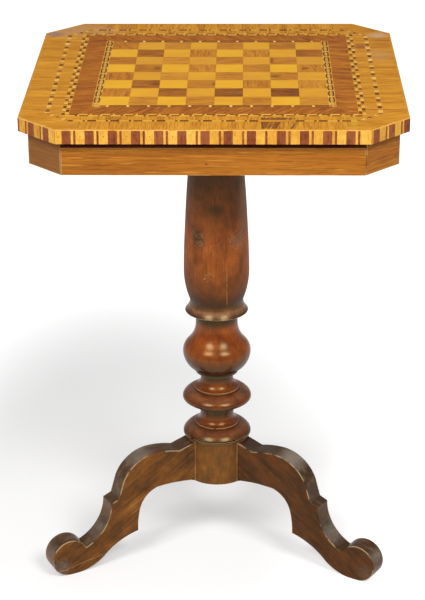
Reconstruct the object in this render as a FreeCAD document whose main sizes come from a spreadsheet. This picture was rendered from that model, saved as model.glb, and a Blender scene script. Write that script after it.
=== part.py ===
# Tripod chess table: an inlaid octagonal top over a shallow frieze with one drawer,
# on a turned column with three sawn legs. Millimetres, +Z up. The origin is on the
# floor under the column's axis, +Y points to the back, the drawer opens to -Y.
import FreeCAD, Part
import math
import os
import re
import Sketcher

doc = FreeCAD.newDocument("chess_table")

# Every size that can be set by itself: alias, value, what it is.
sizes = [
    ("tableHeight", 732, "floor to playing surface"),
    # the inlaid face, from the middle outwards
    ("squareSize", 38, "one chess square"),
    ("glueLine", 0.1, "gap between neighbouring inlays"),
    ("veneerThickness", 1.5, "squares, borders, strings and field"),
    ("boardStringWidth", 8, "string beside the squares"),
    ("borderWidth", 29.5, "cross-banded walnut border"),
    ("chequerWidth", 10.5, "double chequer string"),
    ("innerFieldWidth", 15, "field between the two strings"),
    ("outerStringWidth", 7.5, "dash string that follows the eight sides"),
    ("outerStringDepth", 1, "depth of the dash string in the field"),
    ("outerFieldWidth", 30.5, "field outside the dash string"),
    ("cornerGap", 0.7, "chequer string's corner to the dash string"),
    ("fieldJoint", 173, "centre line to the joint of side and corner field"),
    # ground board and its edge
    ("topThickness", 19.5, "inlays and ground board together"),
    ("edgeBandThickness", 3, "striped banding round the edge"),
    ("arrisStringHeight", 2.5, "light string along the top arris"),
    ("arrisRound", 1.5, "worn round of that string"),
    # frieze
    ("overhang", 12, "top beyond the frieze"),
    ("friezeDepth", 46.5, "height of the rails"),
    ("railThickness", 16, "rails, corner pieces and drawer front"),
    ("bottomThickness", 10, "board that closes the frieze below"),
    ("scoopWidth", 140, "finger scoop in the bottom board"),
    ("scoopDepth", 26, "scoop, front to back"),
    ("scoopRound", 12, "scoop's inner corners"),
    ("glueBlockSize", 12, "section of a glue block"),
    ("glueBlockLength", 50, "length of a glue block"),
    ("glueBlockPitch", 120, "glue blocks along a rail"),
    # drawer
    ("drawerTopGap", 9, "drawer front to the top"),
    ("drawerEndGap", 0.6, "drawer front to each corner piece"),
    ("drawerRearGap", 0.5, "drawer front to the bottom board's edge"),
    ("slideGap", 0.3, "running gap under and beside the drawer"),
    ("drawerSideInset", 3, "drawer side to the corner piece"),
    ("drawerBackRoom", 52, "drawer's back to the back rail"),
    ("drawerSideThickness", 8, "sides and back of the drawer"),
    ("drawerSideDrop", 2, "side's top edge below the front's"),
    ("drawerPanelThickness", 3.5, "drawer bottom"),
    ("drawerPanelLift", 2, "drawer bottom above the sides' lower edge"),
    ("drawerGroove", 4, "depth of the grooves that hold the drawer bottom"),
    ("tailLength", 10, "lapped tails of the sides in the front"),
    ("tailFlare", 1.6, "how much a tail widens to its tip"),
    ("housingDepth", 3, "drawer back let into the sides"),
    ("guideWidth", 16, "guide beside the drawer"),
    ("guideHeight", 20, "guide above the bottom board"),
    ("stopSize", 12, "drawer stop"),
    ("stopLength", 40, "drawer stop, left to right"),
    ("stopSpacing", 200, "between the two drawer stops"),
    # block under the frieze, with the column's tenon
    ("blockWidth", 170, "square block"),
    ("blockThickness", 28, "square block"),
    ("blockBevel", 9, "bevel round its underside"),
    ("tenonRadius", 18, "round tenon through the block"),
    ("fitClearance", 0.05, "round fits that are glued or driven"),
    ("wedgeLength", 20, "wedge in the tenon, down its slot"),
    ("wedgeTop", 4, "wedge at its head"),
    ("wedgeTip", 1.2, "wedge at its tip"),
    ("screwEdge", 22, "screw's axis to the block's edges"),
    ("screwRadius", 2.2, "screw's shank"),
    ("screwHeadRadius", 4.4, "screw's countersunk head"),
    ("screwHeadHeight", 3, "screw's countersunk head"),
    ("screwBite", 7, "screw into the bottom board"),
    # column, from the floor upwards: a radius and a height for each element
    ("baseTurn", -1.7, "column and legs turned under the top, degrees"),
    ("hubBottom", 105.5, "floor to the column's foot"),
    ("hubRadius", 47.5, "plain drum that takes the legs"),
    ("hubHeight", 67.5, "plain drum"),
    ("rimRadius", 50.4, "band over the drum"),
    ("rimHeight", 3.4, "band over the drum"),
    ("ringNeck", 48.6, "quirk over the band"),
    ("ringNeckHeight", 1.6, "quirk over the band"),
    ("ringRadius", 50, "quarter round over the quirk"),
    ("ringHeight", 10.75, "quarter round over the quirk"),
    ("ringBulge", 1.7, "bulge of the quarter round"),
    ("lowLipRadius", 33.2, "lip under the lower cove"),
    ("lowLipHeight", 3.25, "lip under the lower cove"),
    ("lowNeckRadius", 24.8, "neck of the lower cove"),
    ("lowCoveHeight", 14, "lower cove up to its neck"),
    ("lowCoveBulge", 3.3, "hollow of the lower cove"),
    ("lowNeckHeight", 8, "straight neck over the lower cove"),
    ("lowFilletRadius", 28.5, "fillet under the torus"),
    ("lowFilletHeight", 12, "fillet under the torus"),
    ("torusFoot", 45.2, "radius where the torus starts"),
    ("torusRadius", 51.9, "torus at its widest"),
    ("torusLowHeight", 8, "torus below its widest"),
    ("torusLowBulge", 2.1, "bulge of the torus below its widest"),
    ("torusHighHeight", 11.5, "torus above its widest"),
    ("torusHighBulge", 2.3, "bulge of the torus above its widest"),
    ("highLipRadius", 33.4, "lip over the torus"),
    ("highLipHeight", 3.9, "lip over the torus"),
    ("highNeckRadius", 24, "neck of the upper cove"),
    ("highCoveHeight", 16.6, "upper cove up to its neck"),
    ("highCoveBulge", 3.7, "hollow of the upper cove"),
    ("highNeckHeight", 8, "straight neck over the upper cove"),
    ("highFilletRadius", 31.9, "fillet under the bulb"),
    ("highFilletHeight", 3.6, "fillet under the bulb"),
    ("bulbRadius", 50.2, "bulb at its widest"),
    ("bulbLowHeight", 29.5, "bulb below its widest"),
    ("bulbLowBulge", 4.5, "bulge of the bulb's underside"),
    ("bulbShoulder", 42.1, "radius where the bulb's shoulder turns hollow"),
    ("bulbShoulderHeight", 16.5, "bulb's widest to that turn"),
    ("bulbHighBulge", 1.87, "bulge of the shoulder"),
    ("throatRadius", 30.5, "throat under the collar"),
    ("throatHeight", 27.1, "turn of the shoulder to the throat"),
    ("throatBulge", 2.13, "hollow down to the throat"),
    ("throatLength", 17.3, "straight throat"),
    ("collarLow", 38, "collar at its lower edge"),
    ("collarRadius", 46.3, "collar at its widest"),
    ("collarLowHeight", 4.6, "collar below its widest"),
    ("collarHigh", 38.3, "collar at its upper edge, foot of the shaft"),
    ("collarHighHeight", 16.2, "collar above its widest"),
    ("collarLowBulge", 0.7, "bulge of the collar below its widest"),
    ("collarHighBulge", 1.4, "hollow of the collar above its widest"),
    ("swellRadius", 47.8, "shaft at its widest"),
    ("swellHeight", 46.6, "collar to the shaft's widest"),
    ("swellBulge", 2.4, "bulge of the shaft's swelling foot"),
    ("shaftRadius", 45.4, "shaft at the foot of its long taper"),
    ("shaftHeight", 70, "widest to the long taper"),
    ("shaftBulge", 0.42, "bulge of the shaft above its widest"),
    ("taperBulge", 0.97, "bulge of the long taper"),
    ("shaftTopRadius", 35.6, "shaft under the block"),
    # legs: reach is from the column's axis, height from the floor
    ("legThickness", 30, "plank"),
    ("legTopDrop", 3, "leg's shoulder below the band"),
    ("legShoulderLow", 1, "leg's shoulder above the column's foot"),
    ("keyDepth", 15, "dovetail key into the column"),
    ("keyNeck", 12, "key at the shoulder"),
    ("keyTip", 18, "key at its inner end"),
    ("keyTopDrop", 10, "key's top below the shoulder's"),
    ("notchReach", 71, "notch over the knee"),
    ("notchHeight", 162, "notch over the knee"),
    ("crownReach", 108, "highest point of the knee"),
    ("crownHeight", 168, "highest point of the knee"),
    ("crownBulge", 1.3, "knee from notch to crown"),
    ("browReach", 163.5, "outer end of the knee's round"),
    ("browHeight", 131.5, "outer end of the knee's round"),
    ("kneeBulge", 10.4, "knee from crown to brow"),
    ("stepInReach", 171.5, "inner corner of the step"),
    ("stepInHeight", 105.5, "inner corner of the step"),
    ("stepOutReach", 184, "point of the step"),
    ("stepOutHeight", 100.5, "point of the step"),
    ("ankleBulge", 11.5, "hollow from the step to the scroll"),
    ("scrollReach", 251.5, "centre of the scroll foot"),
    ("scrollRadius", 28, "scroll foot"),
    ("scrollAngle", 24, "where the hollow meets the scroll, degrees over level"),
    ("soleLength", 8.5, "flat that stands on the floor"),
    ("soleTurnReach", 194, "where the sole turns hollow"),
    ("soleTurnHeight", 20, "where the sole turns hollow"),
    ("archFootBulge", 4, "hollow up to the toe"),
    ("toeReach", 140.7, "sharp point inside the ankle"),
    ("toeHeight", 45.5, "sharp point inside the ankle"),
    ("archSideReach", 138, "inner side of the arch"),
    ("archSideHeight", 76, "inner side of the arch"),
    ("archSideBulge", 0.9, "inner side of the arch"),
    ("archTopReach", 108, "top of the arch"),
    ("archTopHeight", 110.5, "top of the arch"),
    ("archTopBulge", 6.9, "corner of the arch"),
    ("archUnderBulge", 2, "underside from the arch to the column"),
]

# Sizes and places that follow from those above.
places = {
    "boardHalf": "4 * squareSize",
    "boardStringHalf": "boardHalf + boardStringWidth",
    "borderHalf": "boardStringHalf + borderWidth",
    "chequerHalf": "borderHalf + chequerWidth",
    "topHalf": "chequerHalf + innerFieldWidth + outerStringWidth + outerFieldWidth + edgeBandThickness",
    "outerStringOut": "outerFieldWidth + edgeBandThickness",
    "outerStringIn": "outerStringOut + outerStringWidth",
    "cornerCut": "2 * (topHalf - chequerHalf) - sqrt(2) * (outerStringIn + cornerGap)",
    "sideHalf": "topHalf - cornerCut",
    "veneerBottom": "tableHeight - veneerThickness",
    "arrisBottom": "tableHeight - arrisStringHeight",
    "topBottom": "tableHeight - topThickness",
    "friezeBottom": "topBottom - friezeDepth",
    "railBack": "overhang + railThickness",
    "bottomTop": "friezeBottom + bottomThickness",
    "frontBack": "railBack - topHalf",
    "drawerFrontTop": "topBottom - drawerTopGap",
    "drawerBottom": "bottomTop + slideGap",
    "drawerSideTop": "drawerFrontTop - drawerSideDrop",
    "drawerSideHeight": "drawerSideTop - drawerBottom",
    "drawerHalf": "sideHalf - railBack * tan(22.5) - drawerSideInset",
    "drawerRear": "topHalf - railBack - drawerBackRoom",
    "panelBottom": "drawerBottom + drawerPanelLift",
    "panelTop": "panelBottom + drawerPanelThickness",
    "blockBottom": "friezeBottom - blockThickness",
    "screwTop": "friezeBottom + screwBite",
    "screwReach": "blockWidth / 2 - screwEdge",
    "hubTop": "hubBottom + hubHeight",
    "rimTop": "hubTop + rimHeight",
    "ringLow": "rimTop + ringNeckHeight",
    "ringTop": "ringLow + ringHeight",
    "lowLipTop": "ringTop + lowLipHeight",
    "lowNeckLow": "lowLipTop + lowCoveHeight",
    "lowNeckTop": "lowNeckLow + lowNeckHeight",
    "lowFilletTop": "lowNeckTop + lowFilletHeight",
    "torusMiddle": "lowFilletTop + torusLowHeight",
    "torusTop": "torusMiddle + torusHighHeight",
    "highLipTop": "torusTop + highLipHeight",
    "highNeckLow": "highLipTop + highCoveHeight",
    "highNeckTop": "highNeckLow + highNeckHeight",
    "highFilletTop": "highNeckTop + highFilletHeight",
    "bulbHeight": "highFilletTop + bulbLowHeight",
    "bulbTurn": "bulbHeight + bulbShoulderHeight",
    "throatLow": "bulbTurn + throatHeight",
    "throatTop": "throatLow + throatLength",
    "collarHeight": "throatTop + collarLowHeight",
    "collarTop": "collarHeight + collarHighHeight",
    "swellTop": "collarTop + swellHeight",
    "shaftLow": "swellTop + shaftHeight",
    "legTop": "hubTop - legTopDrop",
    "legLow": "hubBottom + legShoulderLow",
    "keyTop": "legTop - keyTopDrop",
    "soleBack": "scrollReach - soleLength",
    "soleRun": "soleBack - soleTurnReach",
    "soleRound": "(soleRun * soleRun + soleTurnHeight * soleTurnHeight) / (2 * soleTurnHeight)",
    "soleBulge": "soleRound - sqrt(soleRound * soleRound"
                 " - (soleRun * soleRun + soleTurnHeight * soleTurnHeight) / 4)",
    "scrollBulge": "scrollRadius * (1 - sin(scrollAngle / 2))",
    "scrollEndBulge": "scrollRadius * (1 - cos(45))",
    "scoopBulge": "scoopRound * (1 - cos(45))",
    "shoulderReach": "sqrt(hubRadius * hubRadius - legThickness * legThickness / 4)",
    "keyReach": "shoulderReach - keyDepth",
}

sheet = doc.addObject("Spreadsheet::Sheet", "Sizes")
for row, (alias, amount, note) in enumerate(sizes, 1):
    sheet.set(f"A{row}", alias)
    sheet.set(f"B{row}", str(amount))
    sheet.set(f"C{row}", note)
    sheet.setAlias(f"B{row}", alias)
doc.recompute()
aliases = {alias for alias, amount, note in sizes}


def formula(text):
    """The expression for text, with places worked out down to the sheet's cells."""
    def word(match):
        name = match.group(0)
        if name in aliases:
            return "Sizes." + name
        if name in places:
            return "(" + formula(places[name]) + ")"
        return name
    return re.sub(r"[A-Za-z]\w*", word, text)


def measure(text):
    return float(sheet.evalExpression(formula(text)))


def bind(item, **properties):
    """Bind properties, such as Length or Placement__Base__x, to formulas."""
    for name, text in properties.items():
        item.setExpression(name.replace("__", "."), formula(text))


nodes = []


def node(item, label):
    """Count item as a finished sub-part under this name."""
    item.Label = label
    nodes.append(item)
    return item


def newBody(name):
    return doc.addObject("PartDesign::Body", name)


def sketchOn(body, name, role, lift=None):
    """An empty sketch on one of the body's origin planes, lifted along its normal."""
    sketch = body.newObject("Sketcher::SketchObject", name)
    plane = [item for item in body.Origin.OriginFeatures if item.Role == role][0]
    sketch.AttachmentSupport = (plane, [""])
    sketch.MapMode = "FlatFace"
    if lift:
        bind(sketch, AttachmentOffset__Base__z=lift)
    return sketch


LEFT, RIGHT = 1, -1


def arcAlong(start, end, radius, side):
    """The short arc from start to end that bulges to one side of its run."""
    along = end - start
    normal = FreeCAD.Vector(-along.y, along.x, 0).normalize() * side
    centre = (start + end) / 2 - normal * math.sqrt(radius ** 2 - along.Length ** 2 / 4)
    first, last = (end, start) if side == LEFT else (start, end)
    angles = [math.atan2(point.y - centre.y, point.x - centre.x) for point in (first, last)]
    if angles[1] < angles[0]:
        angles[1] += 2 * math.pi
    return Part.ArcOfCircle(Part.Circle(centre, FreeCAD.Vector(0, 0, 1), radius), *angles)


def bulgeRadius(start, end, bulge):
    """Formula for the radius of an arc that stands out this far from its chord."""
    across, up = f"(({end[0]}) - ({start[0]}))", f"(({end[1]}) - ({start[1]}))"
    return f"(({across} * {across} + {up} * {up}) / 4 + {bulge} * {bulge}) / (2 * {bulge})"


def outline(sketch, corners):
    """Close a sketch round corners, each (x, y) or (x, y, bulge, side) where an arc follows."""
    points = [FreeCAD.Vector(measure(corner[0]), measure(corner[1]), 0) for corner in corners]
    starts, ends = [], []
    for index, corner in enumerate(corners):
        start, end = points[index], points[(index + 1) % len(points)]
        if len(corner) == 2:
            edge = sketch.addGeometry(Part.LineSegment(start, end), False)
            starts.append((edge, 1))
            ends.append((edge, 2))
            continue
        rule = bulgeRadius(corner, corners[(index + 1) % len(corners)], corner[2])
        radius, side = measure(rule), corner[3]
        edge = sketch.addGeometry(arcAlong(start, end, radius, side), False)
        starts.append((edge, 2 if side == LEFT else 1))
        ends.append((edge, 1 if side == LEFT else 2))
        held = sketch.addConstraint(Sketcher.Constraint("Radius", edge, radius))
        sketch.setExpression(f"Constraints[{held}]", formula(rule))
    for index, corner in enumerate(corners):
        following = starts[(index + 1) % len(corners)]
        sketch.addConstraint(Sketcher.Constraint("Coincident", *ends[index], *following))
        for axis, place in (("X", 0), ("Y", 1)):
            held = sketch.addConstraint(Sketcher.Constraint(
                "Distance" + axis, -1, 1, *starts[index], points[index][place]))
            sketch.setExpression(f"Constraints[{held}]", formula(corner[place]))
    return sketch


def pad(body, name, sketch, length, both=False):
    feature = body.newObject("PartDesign::Pad", name)
    feature.Profile = sketch
    feature.Midplane = both
    bind(feature, Length=length)
    sketch.Visibility = False
    return feature


def pocket(body, name, sketch, length, both=False):
    """A pocket towards the sketch's normal, or to both sides of it."""
    feature = body.newObject("PartDesign::Pocket", name)
    feature.Profile = sketch
    feature.Midplane = both
    feature.Reversed = not both
    bind(feature, Length=length)
    return feature


def plate(name, corners, bottom, top):
    """A flat piece with this outline between two heights."""
    body = newBody(name)
    shape = outline(sketchOn(body, name + "Outline", "XY_Plane", bottom), corners)
    pad(body, name + "Pad", shape, f"({top}) - ({bottom})")
    return body


def turned(item, quarter):
    """Turn a piece by quarters of a circle about the table's axis."""
    item.Placement = FreeCAD.Placement(
        FreeCAD.Vector(), FreeCAD.Rotation(FreeCAD.Vector(0, 0, 1), 90 * quarter))
    return item


def turnedBase(item, degrees):
    """Turn a piece of the base to this bearing, and by the base's own turn."""
    item.Placement = FreeCAD.Placement(
        FreeCAD.Vector(), FreeCAD.Rotation(FreeCAD.Vector(0, 0, 1), degrees))
    bind(item, Placement__Rotation__Angle=f"{degrees} + baseTurn")
    return item


def group(label, items):
    """Separate solids that share one name."""
    compound = doc.addObject("Part::Compound", label)
    compound.Links = items
    return node(compound, label)


def cutFrom(name, base, tools):
    """Base less the tools, which may be sub-parts themselves."""
    tool = tools[0]
    if len(tools) > 1:
        tool = doc.addObject("Part::Compound", name + "Tools")
        tool.Links = tools
    cut = doc.addObject("Part::Cut", name)
    cut.Base = base
    cut.Tool = tool
    return cut


# Outlines that run parallel to the octagon's edge, at a distance inside it.

def sideStrip(outer, inner, trim="0"):
    """Front strip between two distances from the edge, mitred at 22.5 degrees."""
    def end(distance):
        return f"sideHalf - ({distance}) * tan(22.5) - ({trim})"
    return [(f"-({end(outer)})", f"({outer}) - topHalf"), (end(outer), f"({outer}) - topHalf"),
            (end(inner), f"({inner}) - topHalf"), (f"-({end(inner)})", f"({inner}) - topHalf")]


def cornerStrip(outer, inner, trim="0"):
    """Front right strip along the cut corner, between two distances from the edge."""
    def near(distance):
        return f"sideHalf - ({distance}) * tan(22.5) + ({trim}) / sqrt(2)"

    def far(distance):
        return f"topHalf - ({distance}) - ({trim}) / sqrt(2)"
    return [(near(outer), f"-({far(outer)})"), (far(outer), f"-({near(outer)})"),
            (far(inner), f"-({near(inner)})"), (near(inner), f"-({far(inner)})")]


def octagon(inset):
    """All eight corners at one distance from the edge, anticlockwise from the front left."""
    near, far = f"(sideHalf - ({inset}) * tan(22.5))", f"(topHalf - ({inset}))"
    signs = [("-" + near, "-" + far), (near, "-" + far), (far, "-" + near), (far, near),
             (near, far), ("-" + near, far), ("-" + far, near), ("-" + far, "-" + near)]
    return signs


def squareStrip(inner, outer, trim="0"):
    """Front strip of a square frame, mitred at 45 degrees."""
    return [(f"({trim}) - ({outer})", f"-({outer})"), (f"({outer}) - ({trim})", f"-({outer})"),
            (f"({inner}) - ({trim})", f"-({inner})"), (f"({trim}) - ({inner})", f"-({inner})")]


def rectangle(left, front, right, back):
    return [(left, front), (right, front), (right, back), (left, back)]


sides = ["front", "right", "back", "left"]
cornerNames = ["front_right", "back_right", "back_left", "front_left"]


def makeTop():
    """Ground board, its banded edge, the squares and the bands of inlay round them."""
    node(plate("ground_board", octagon("edgeBandThickness"), "topBottom", "veneerBottom"),
         "ground_board")

    squares = {"light": [], "dark": []}
    for column in range(8):
        for rank in range(8):
            tone = "light" if (column + rank) % 2 == 0 else "dark"
            square = doc.addObject("Part::Box", f"{tone}Square{column}{rank}")
            bind(square, Length="squareSize - glueLine", Width="squareSize - glueLine",
                 Height="veneerThickness",
                 Placement__Base__x=f"({column} - 4) * squareSize + glueLine / 2",
                 Placement__Base__y=f"({rank} - 4) * squareSize + glueLine / 2",
                 Placement__Base__z="veneerBottom")
            squares[tone].append(square)
    group("light_squares", squares["light"])
    group("dark_squares", squares["dark"])

    sideString = rectangle("-boardStringHalf", "-boardStringHalf", "-boardHalf", "boardStringHalf")
    endString = rectangle("-boardHalf", "-boardStringHalf", "boardHalf", "-boardHalf")
    group("board_side_strings", [
        turned(plate(f"sideString{turn}", sideString, "veneerBottom", "tableHeight"), turn)
        for turn in (0, 2)])
    group("board_end_strings", [
        turned(plate(f"endString{turn}", endString, "veneerBottom", "tableHeight"), turn)
        for turn in (0, 2)])

    for turn, side in enumerate(sides):
        border = plate("walnut_border_" + side, squareStrip("boardStringHalf", "borderHalf"),
                       "veneerBottom", "tableHeight")
        node(turned(border, turn), "walnut_border_" + side)
    group("chequer_string", [
        turned(plate(f"chequer{turn}", squareStrip("borderHalf", "chequerHalf", "glueLine"),
                     "veneerBottom", "tableHeight"), turn)
        for turn in range(4)])

    makeField()
    makeEdge()


def makeField():
    """Cross-banded field in eight pieces, with the dash string let into it."""
    stringBottom = "tableHeight - outerStringDepth"
    outerPlate = plate("stringRing", octagon("outerStringOut"), stringBottom, "tableHeight")
    innerOutline = outline(sketchOn(outerPlate, "stringRingHole", "XY_Plane", stringBottom),
                           octagon("outerStringIn"))
    pocket(outerPlate, "stringRingPocket", innerOutline, "outerStringDepth")

    sidePiece = rectangle("-fieldJoint", "edgeBandThickness - topHalf", "fieldJoint", "-chequerHalf")
    edgeNear = "(sideHalf - edgeBandThickness * tan(22.5))"
    edgeFar = "(topHalf - edgeBandThickness)"
    cornerPiece = [
        ("fieldJoint", "-" + edgeFar), (edgeNear, "-" + edgeFar), (edgeFar, "-" + edgeNear),
        (edgeFar, "-fieldJoint"), ("chequerHalf", "-fieldJoint"), ("chequerHalf", "-chequerHalf"),
        ("fieldJoint", "-chequerHalf")]
    pieces = [("field_" + side, sidePiece, turn) for turn, side in enumerate(sides)]
    pieces += [("field_" + corner, cornerPiece, turn) for turn, corner in enumerate(cornerNames)]
    for label, corners, turn in pieces:
        veneer = turned(plate(label + "Veneer", corners, "veneerBottom", "tableHeight"), turn)
        node(cutFrom(label, veneer, [outerPlate]), label)

    strips = []
    for turn in range(4):
        strips.append(turned(plate(
            f"outerStringSide{turn}", sideStrip("outerStringOut", "outerStringIn", "glueLine"),
            stringBottom, "tableHeight"), turn))
        strips.append(turned(plate(
            f"outerStringCorner{turn}", cornerStrip("outerStringOut", "outerStringIn", "glueLine"),
            stringBottom, "tableHeight"), turn))
    group("outer_string", strips)


def roundedTop(body, along):
    """Round the outer top edge of a strip; along is the edge's direction in the strip."""
    doc.recompute()
    shape = body.Shape
    top, reach = shape.BoundBox.ZMax, 0
    chosen = None
    for index, edge in enumerate(shape.Edges, 1):
        ends = [vertex.Point for vertex in edge.Vertexes]
        direction = (ends[1] - ends[0]).normalize()
        level = all(abs(point.z - top) < 1e-6 for point in ends)
        if level and abs(abs(direction.dot(along)) - 1) < 1e-6:
            distance = FreeCAD.Vector(ends[0].x, ends[0].y, 0).cross(direction).Length
            if distance > reach:
                reach, chosen = distance, f"Edge{index}"
    before = body.Tip
    feature = body.newObject("PartDesign::Fillet", body.Name + "Round")
    feature.Base = (before, [chosen])
    bind(feature, Radius="arrisRound")


def makeEdge():
    """Striped banding on the eight edges and the light string along their top arris."""
    cornerBands, arris = [], []
    for turn, side in enumerate(sides):
        band = plate("edge_band_" + side, sideStrip("0", "edgeBandThickness"),
                     "topBottom", "arrisBottom")
        node(turned(band, turn), "edge_band_" + side)
        corner = plate(f"cornerBand{turn}", cornerStrip("0", "edgeBandThickness"),
                       "topBottom", "arrisBottom")
        cornerBands.append(turned(corner, turn))
        for name, strip, along in (
                ("arrisSide", sideStrip, FreeCAD.Vector(1, 0, 0)),
                ("arrisCorner", cornerStrip, FreeCAD.Vector(1, 1, 0).normalize())):
            piece = plate(f"{name}{turn}", strip("0", "edgeBandThickness", "glueLine"),
                          "arrisBottom", "tableHeight")
            roundedTop(piece, along)
            arris.append(turned(piece, turn))
    group("edge_band_corners", cornerBands)
    group("arris_string", arris)


def makeFrieze():
    """Rails and corner pieces, glue blocks, drawer guides and stops."""
    for turn, side in enumerate(sides[1:], 1):
        rail = plate("frieze_" + side, sideStrip("overhang", "railBack"), "friezeBottom", "topBottom")
        node(turned(rail, turn), "frieze_" + side)
    for turn, corner in enumerate(cornerNames):
        piece = plate("frieze_corner_" + corner, cornerStrip("overhang", "railBack"),
                      "friezeBottom", "topBottom")
        node(turned(piece, turn), "frieze_corner_" + corner)

    blocks = []
    for turn in (1, 2, 3):
        for place in (-1, 0, 1):
            middle = f"({place}) * glueBlockPitch"
            block = plate(f"glueBlock{turn}{place + 1}", rectangle(
                f"{middle} - glueBlockLength / 2", "frontBack",
                f"{middle} + glueBlockLength / 2", "frontBack + glueBlockSize"),
                "topBottom - glueBlockSize", "topBottom")
            blocks.append(turned(block, turn))
    group("glue_blocks", blocks)

    near, far = "drawerHalf + slideGap", "drawerHalf + slideGap + guideWidth"
    guideTop = "bottomTop + guideHeight"
    node(plate("drawer_guide_left", rectangle(f"-({far})", "-sideHalf", f"-({near})", "drawerRear"),
               "bottomTop", guideTop), "drawer_guide_left")
    node(plate("drawer_guide_right", rectangle(near, "-sideHalf", far, "drawerRear"),
               "bottomTop", guideTop), "drawer_guide_right")
    group("drawer_stops", [
        plate(name, rectangle(
            f"{side} * stopSpacing / 2 - stopLength / 2", "drawerRear + slideGap",
            f"{side} * stopSpacing / 2 + stopLength / 2", "drawerRear + slideGap + stopSize"),
            "bottomTop", "bottomTop + stopSize")
        for name, side in (("stopLeft", "-1"), ("stopRight", "1"))])


def screwShape(name, x, y, growth):
    """Countersunk screw from below, or its hole where growth is the clearance."""
    shank = doc.addObject("Part::Cylinder", name + "Shank")
    bind(shank, Radius=f"screwRadius + {growth}", Height=f"screwTop - blockBottom + {growth}")
    head = doc.addObject("Part::Cone", name + "Head")
    bind(head, Radius1=f"screwHeadRadius + {growth}", Radius2=f"screwRadius + {growth}",
         Height="screwHeadHeight")
    for piece in (shank, head):
        bind(piece, Placement__Base__x=x, Placement__Base__y=y, Placement__Base__z="blockBottom")
    whole = doc.addObject("Part::Fuse", name)
    whole.Base = shank
    whole.Tool = head
    return whole


def makeBlock():
    """Bottom board with its finger scoop, the block under it and the screws through both."""
    screws, holes = [], []
    for index, (across, back) in enumerate(((-1, -1), (1, -1), (1, 1), (-1, 1))):
        x, y = f"({across}) * screwReach", f"({back}) * screwReach"
        screws.append(screwShape(f"screw{index}", x, y, "0"))
        holes.append(screwShape(f"screwHole{index}", x, y, "fitClearance"))
    group("block_screws", screws)

    edge, near = "(frontBack + drawerRearGap)", "(sideHalf - railBack * tan(22.5) + drawerRearGap)"
    corners = octagon("railBack")
    corners[:2] = [("-" + near, edge), (near, edge)]
    board = plate("bottomBoardWhole", corners, "friezeBottom", "bottomTop")
    half, deep = "(scoopWidth / 2)", f"({edge} + scoopDepth)"
    scoop = outline(sketchOn(board, "scoopOutline", "XY_Plane", "friezeBottom"), [
        ("-" + half, edge + " - scoopRound"), (half, edge + " - scoopRound"),
        (half, deep + " - scoopRound", "scoopBulge", RIGHT), (half + " - scoopRound", deep),
        ("scoopRound - " + half, deep, "scoopBulge", RIGHT), ("-" + half, deep + " - scoopRound")])
    pocket(board, "scoop", scoop, "bottomThickness")
    node(cutFrom("bottom_board", board, holes), "bottom_board")

    width = "(blockWidth / 2)"
    block = plate("blockWhole", rectangle("-" + width, "-" + width, width, width),
                  "blockBottom", "friezeBottom")
    doc.recompute()
    lower = block.Shape.BoundBox.ZMin
    edges = [f"Edge{index}" for index, edge in enumerate(block.Shape.Edges, 1)
             if edge.BoundBox.ZMax < lower + 1e-6]
    before = block.Tip
    bevel = block.newObject("PartDesign::Chamfer", "blockBevelCut")
    bevel.Base = (before, edges)
    bind(bevel, Size="blockBevel")
    bore = doc.addObject("Part::Cylinder", "tenonBore")
    bind(bore, Radius="tenonRadius + fitClearance", Height="blockThickness",
         Placement__Base__z="blockBottom")
    node(cutFrom("column_block", block, [bore] + holes), "column_block")


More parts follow.
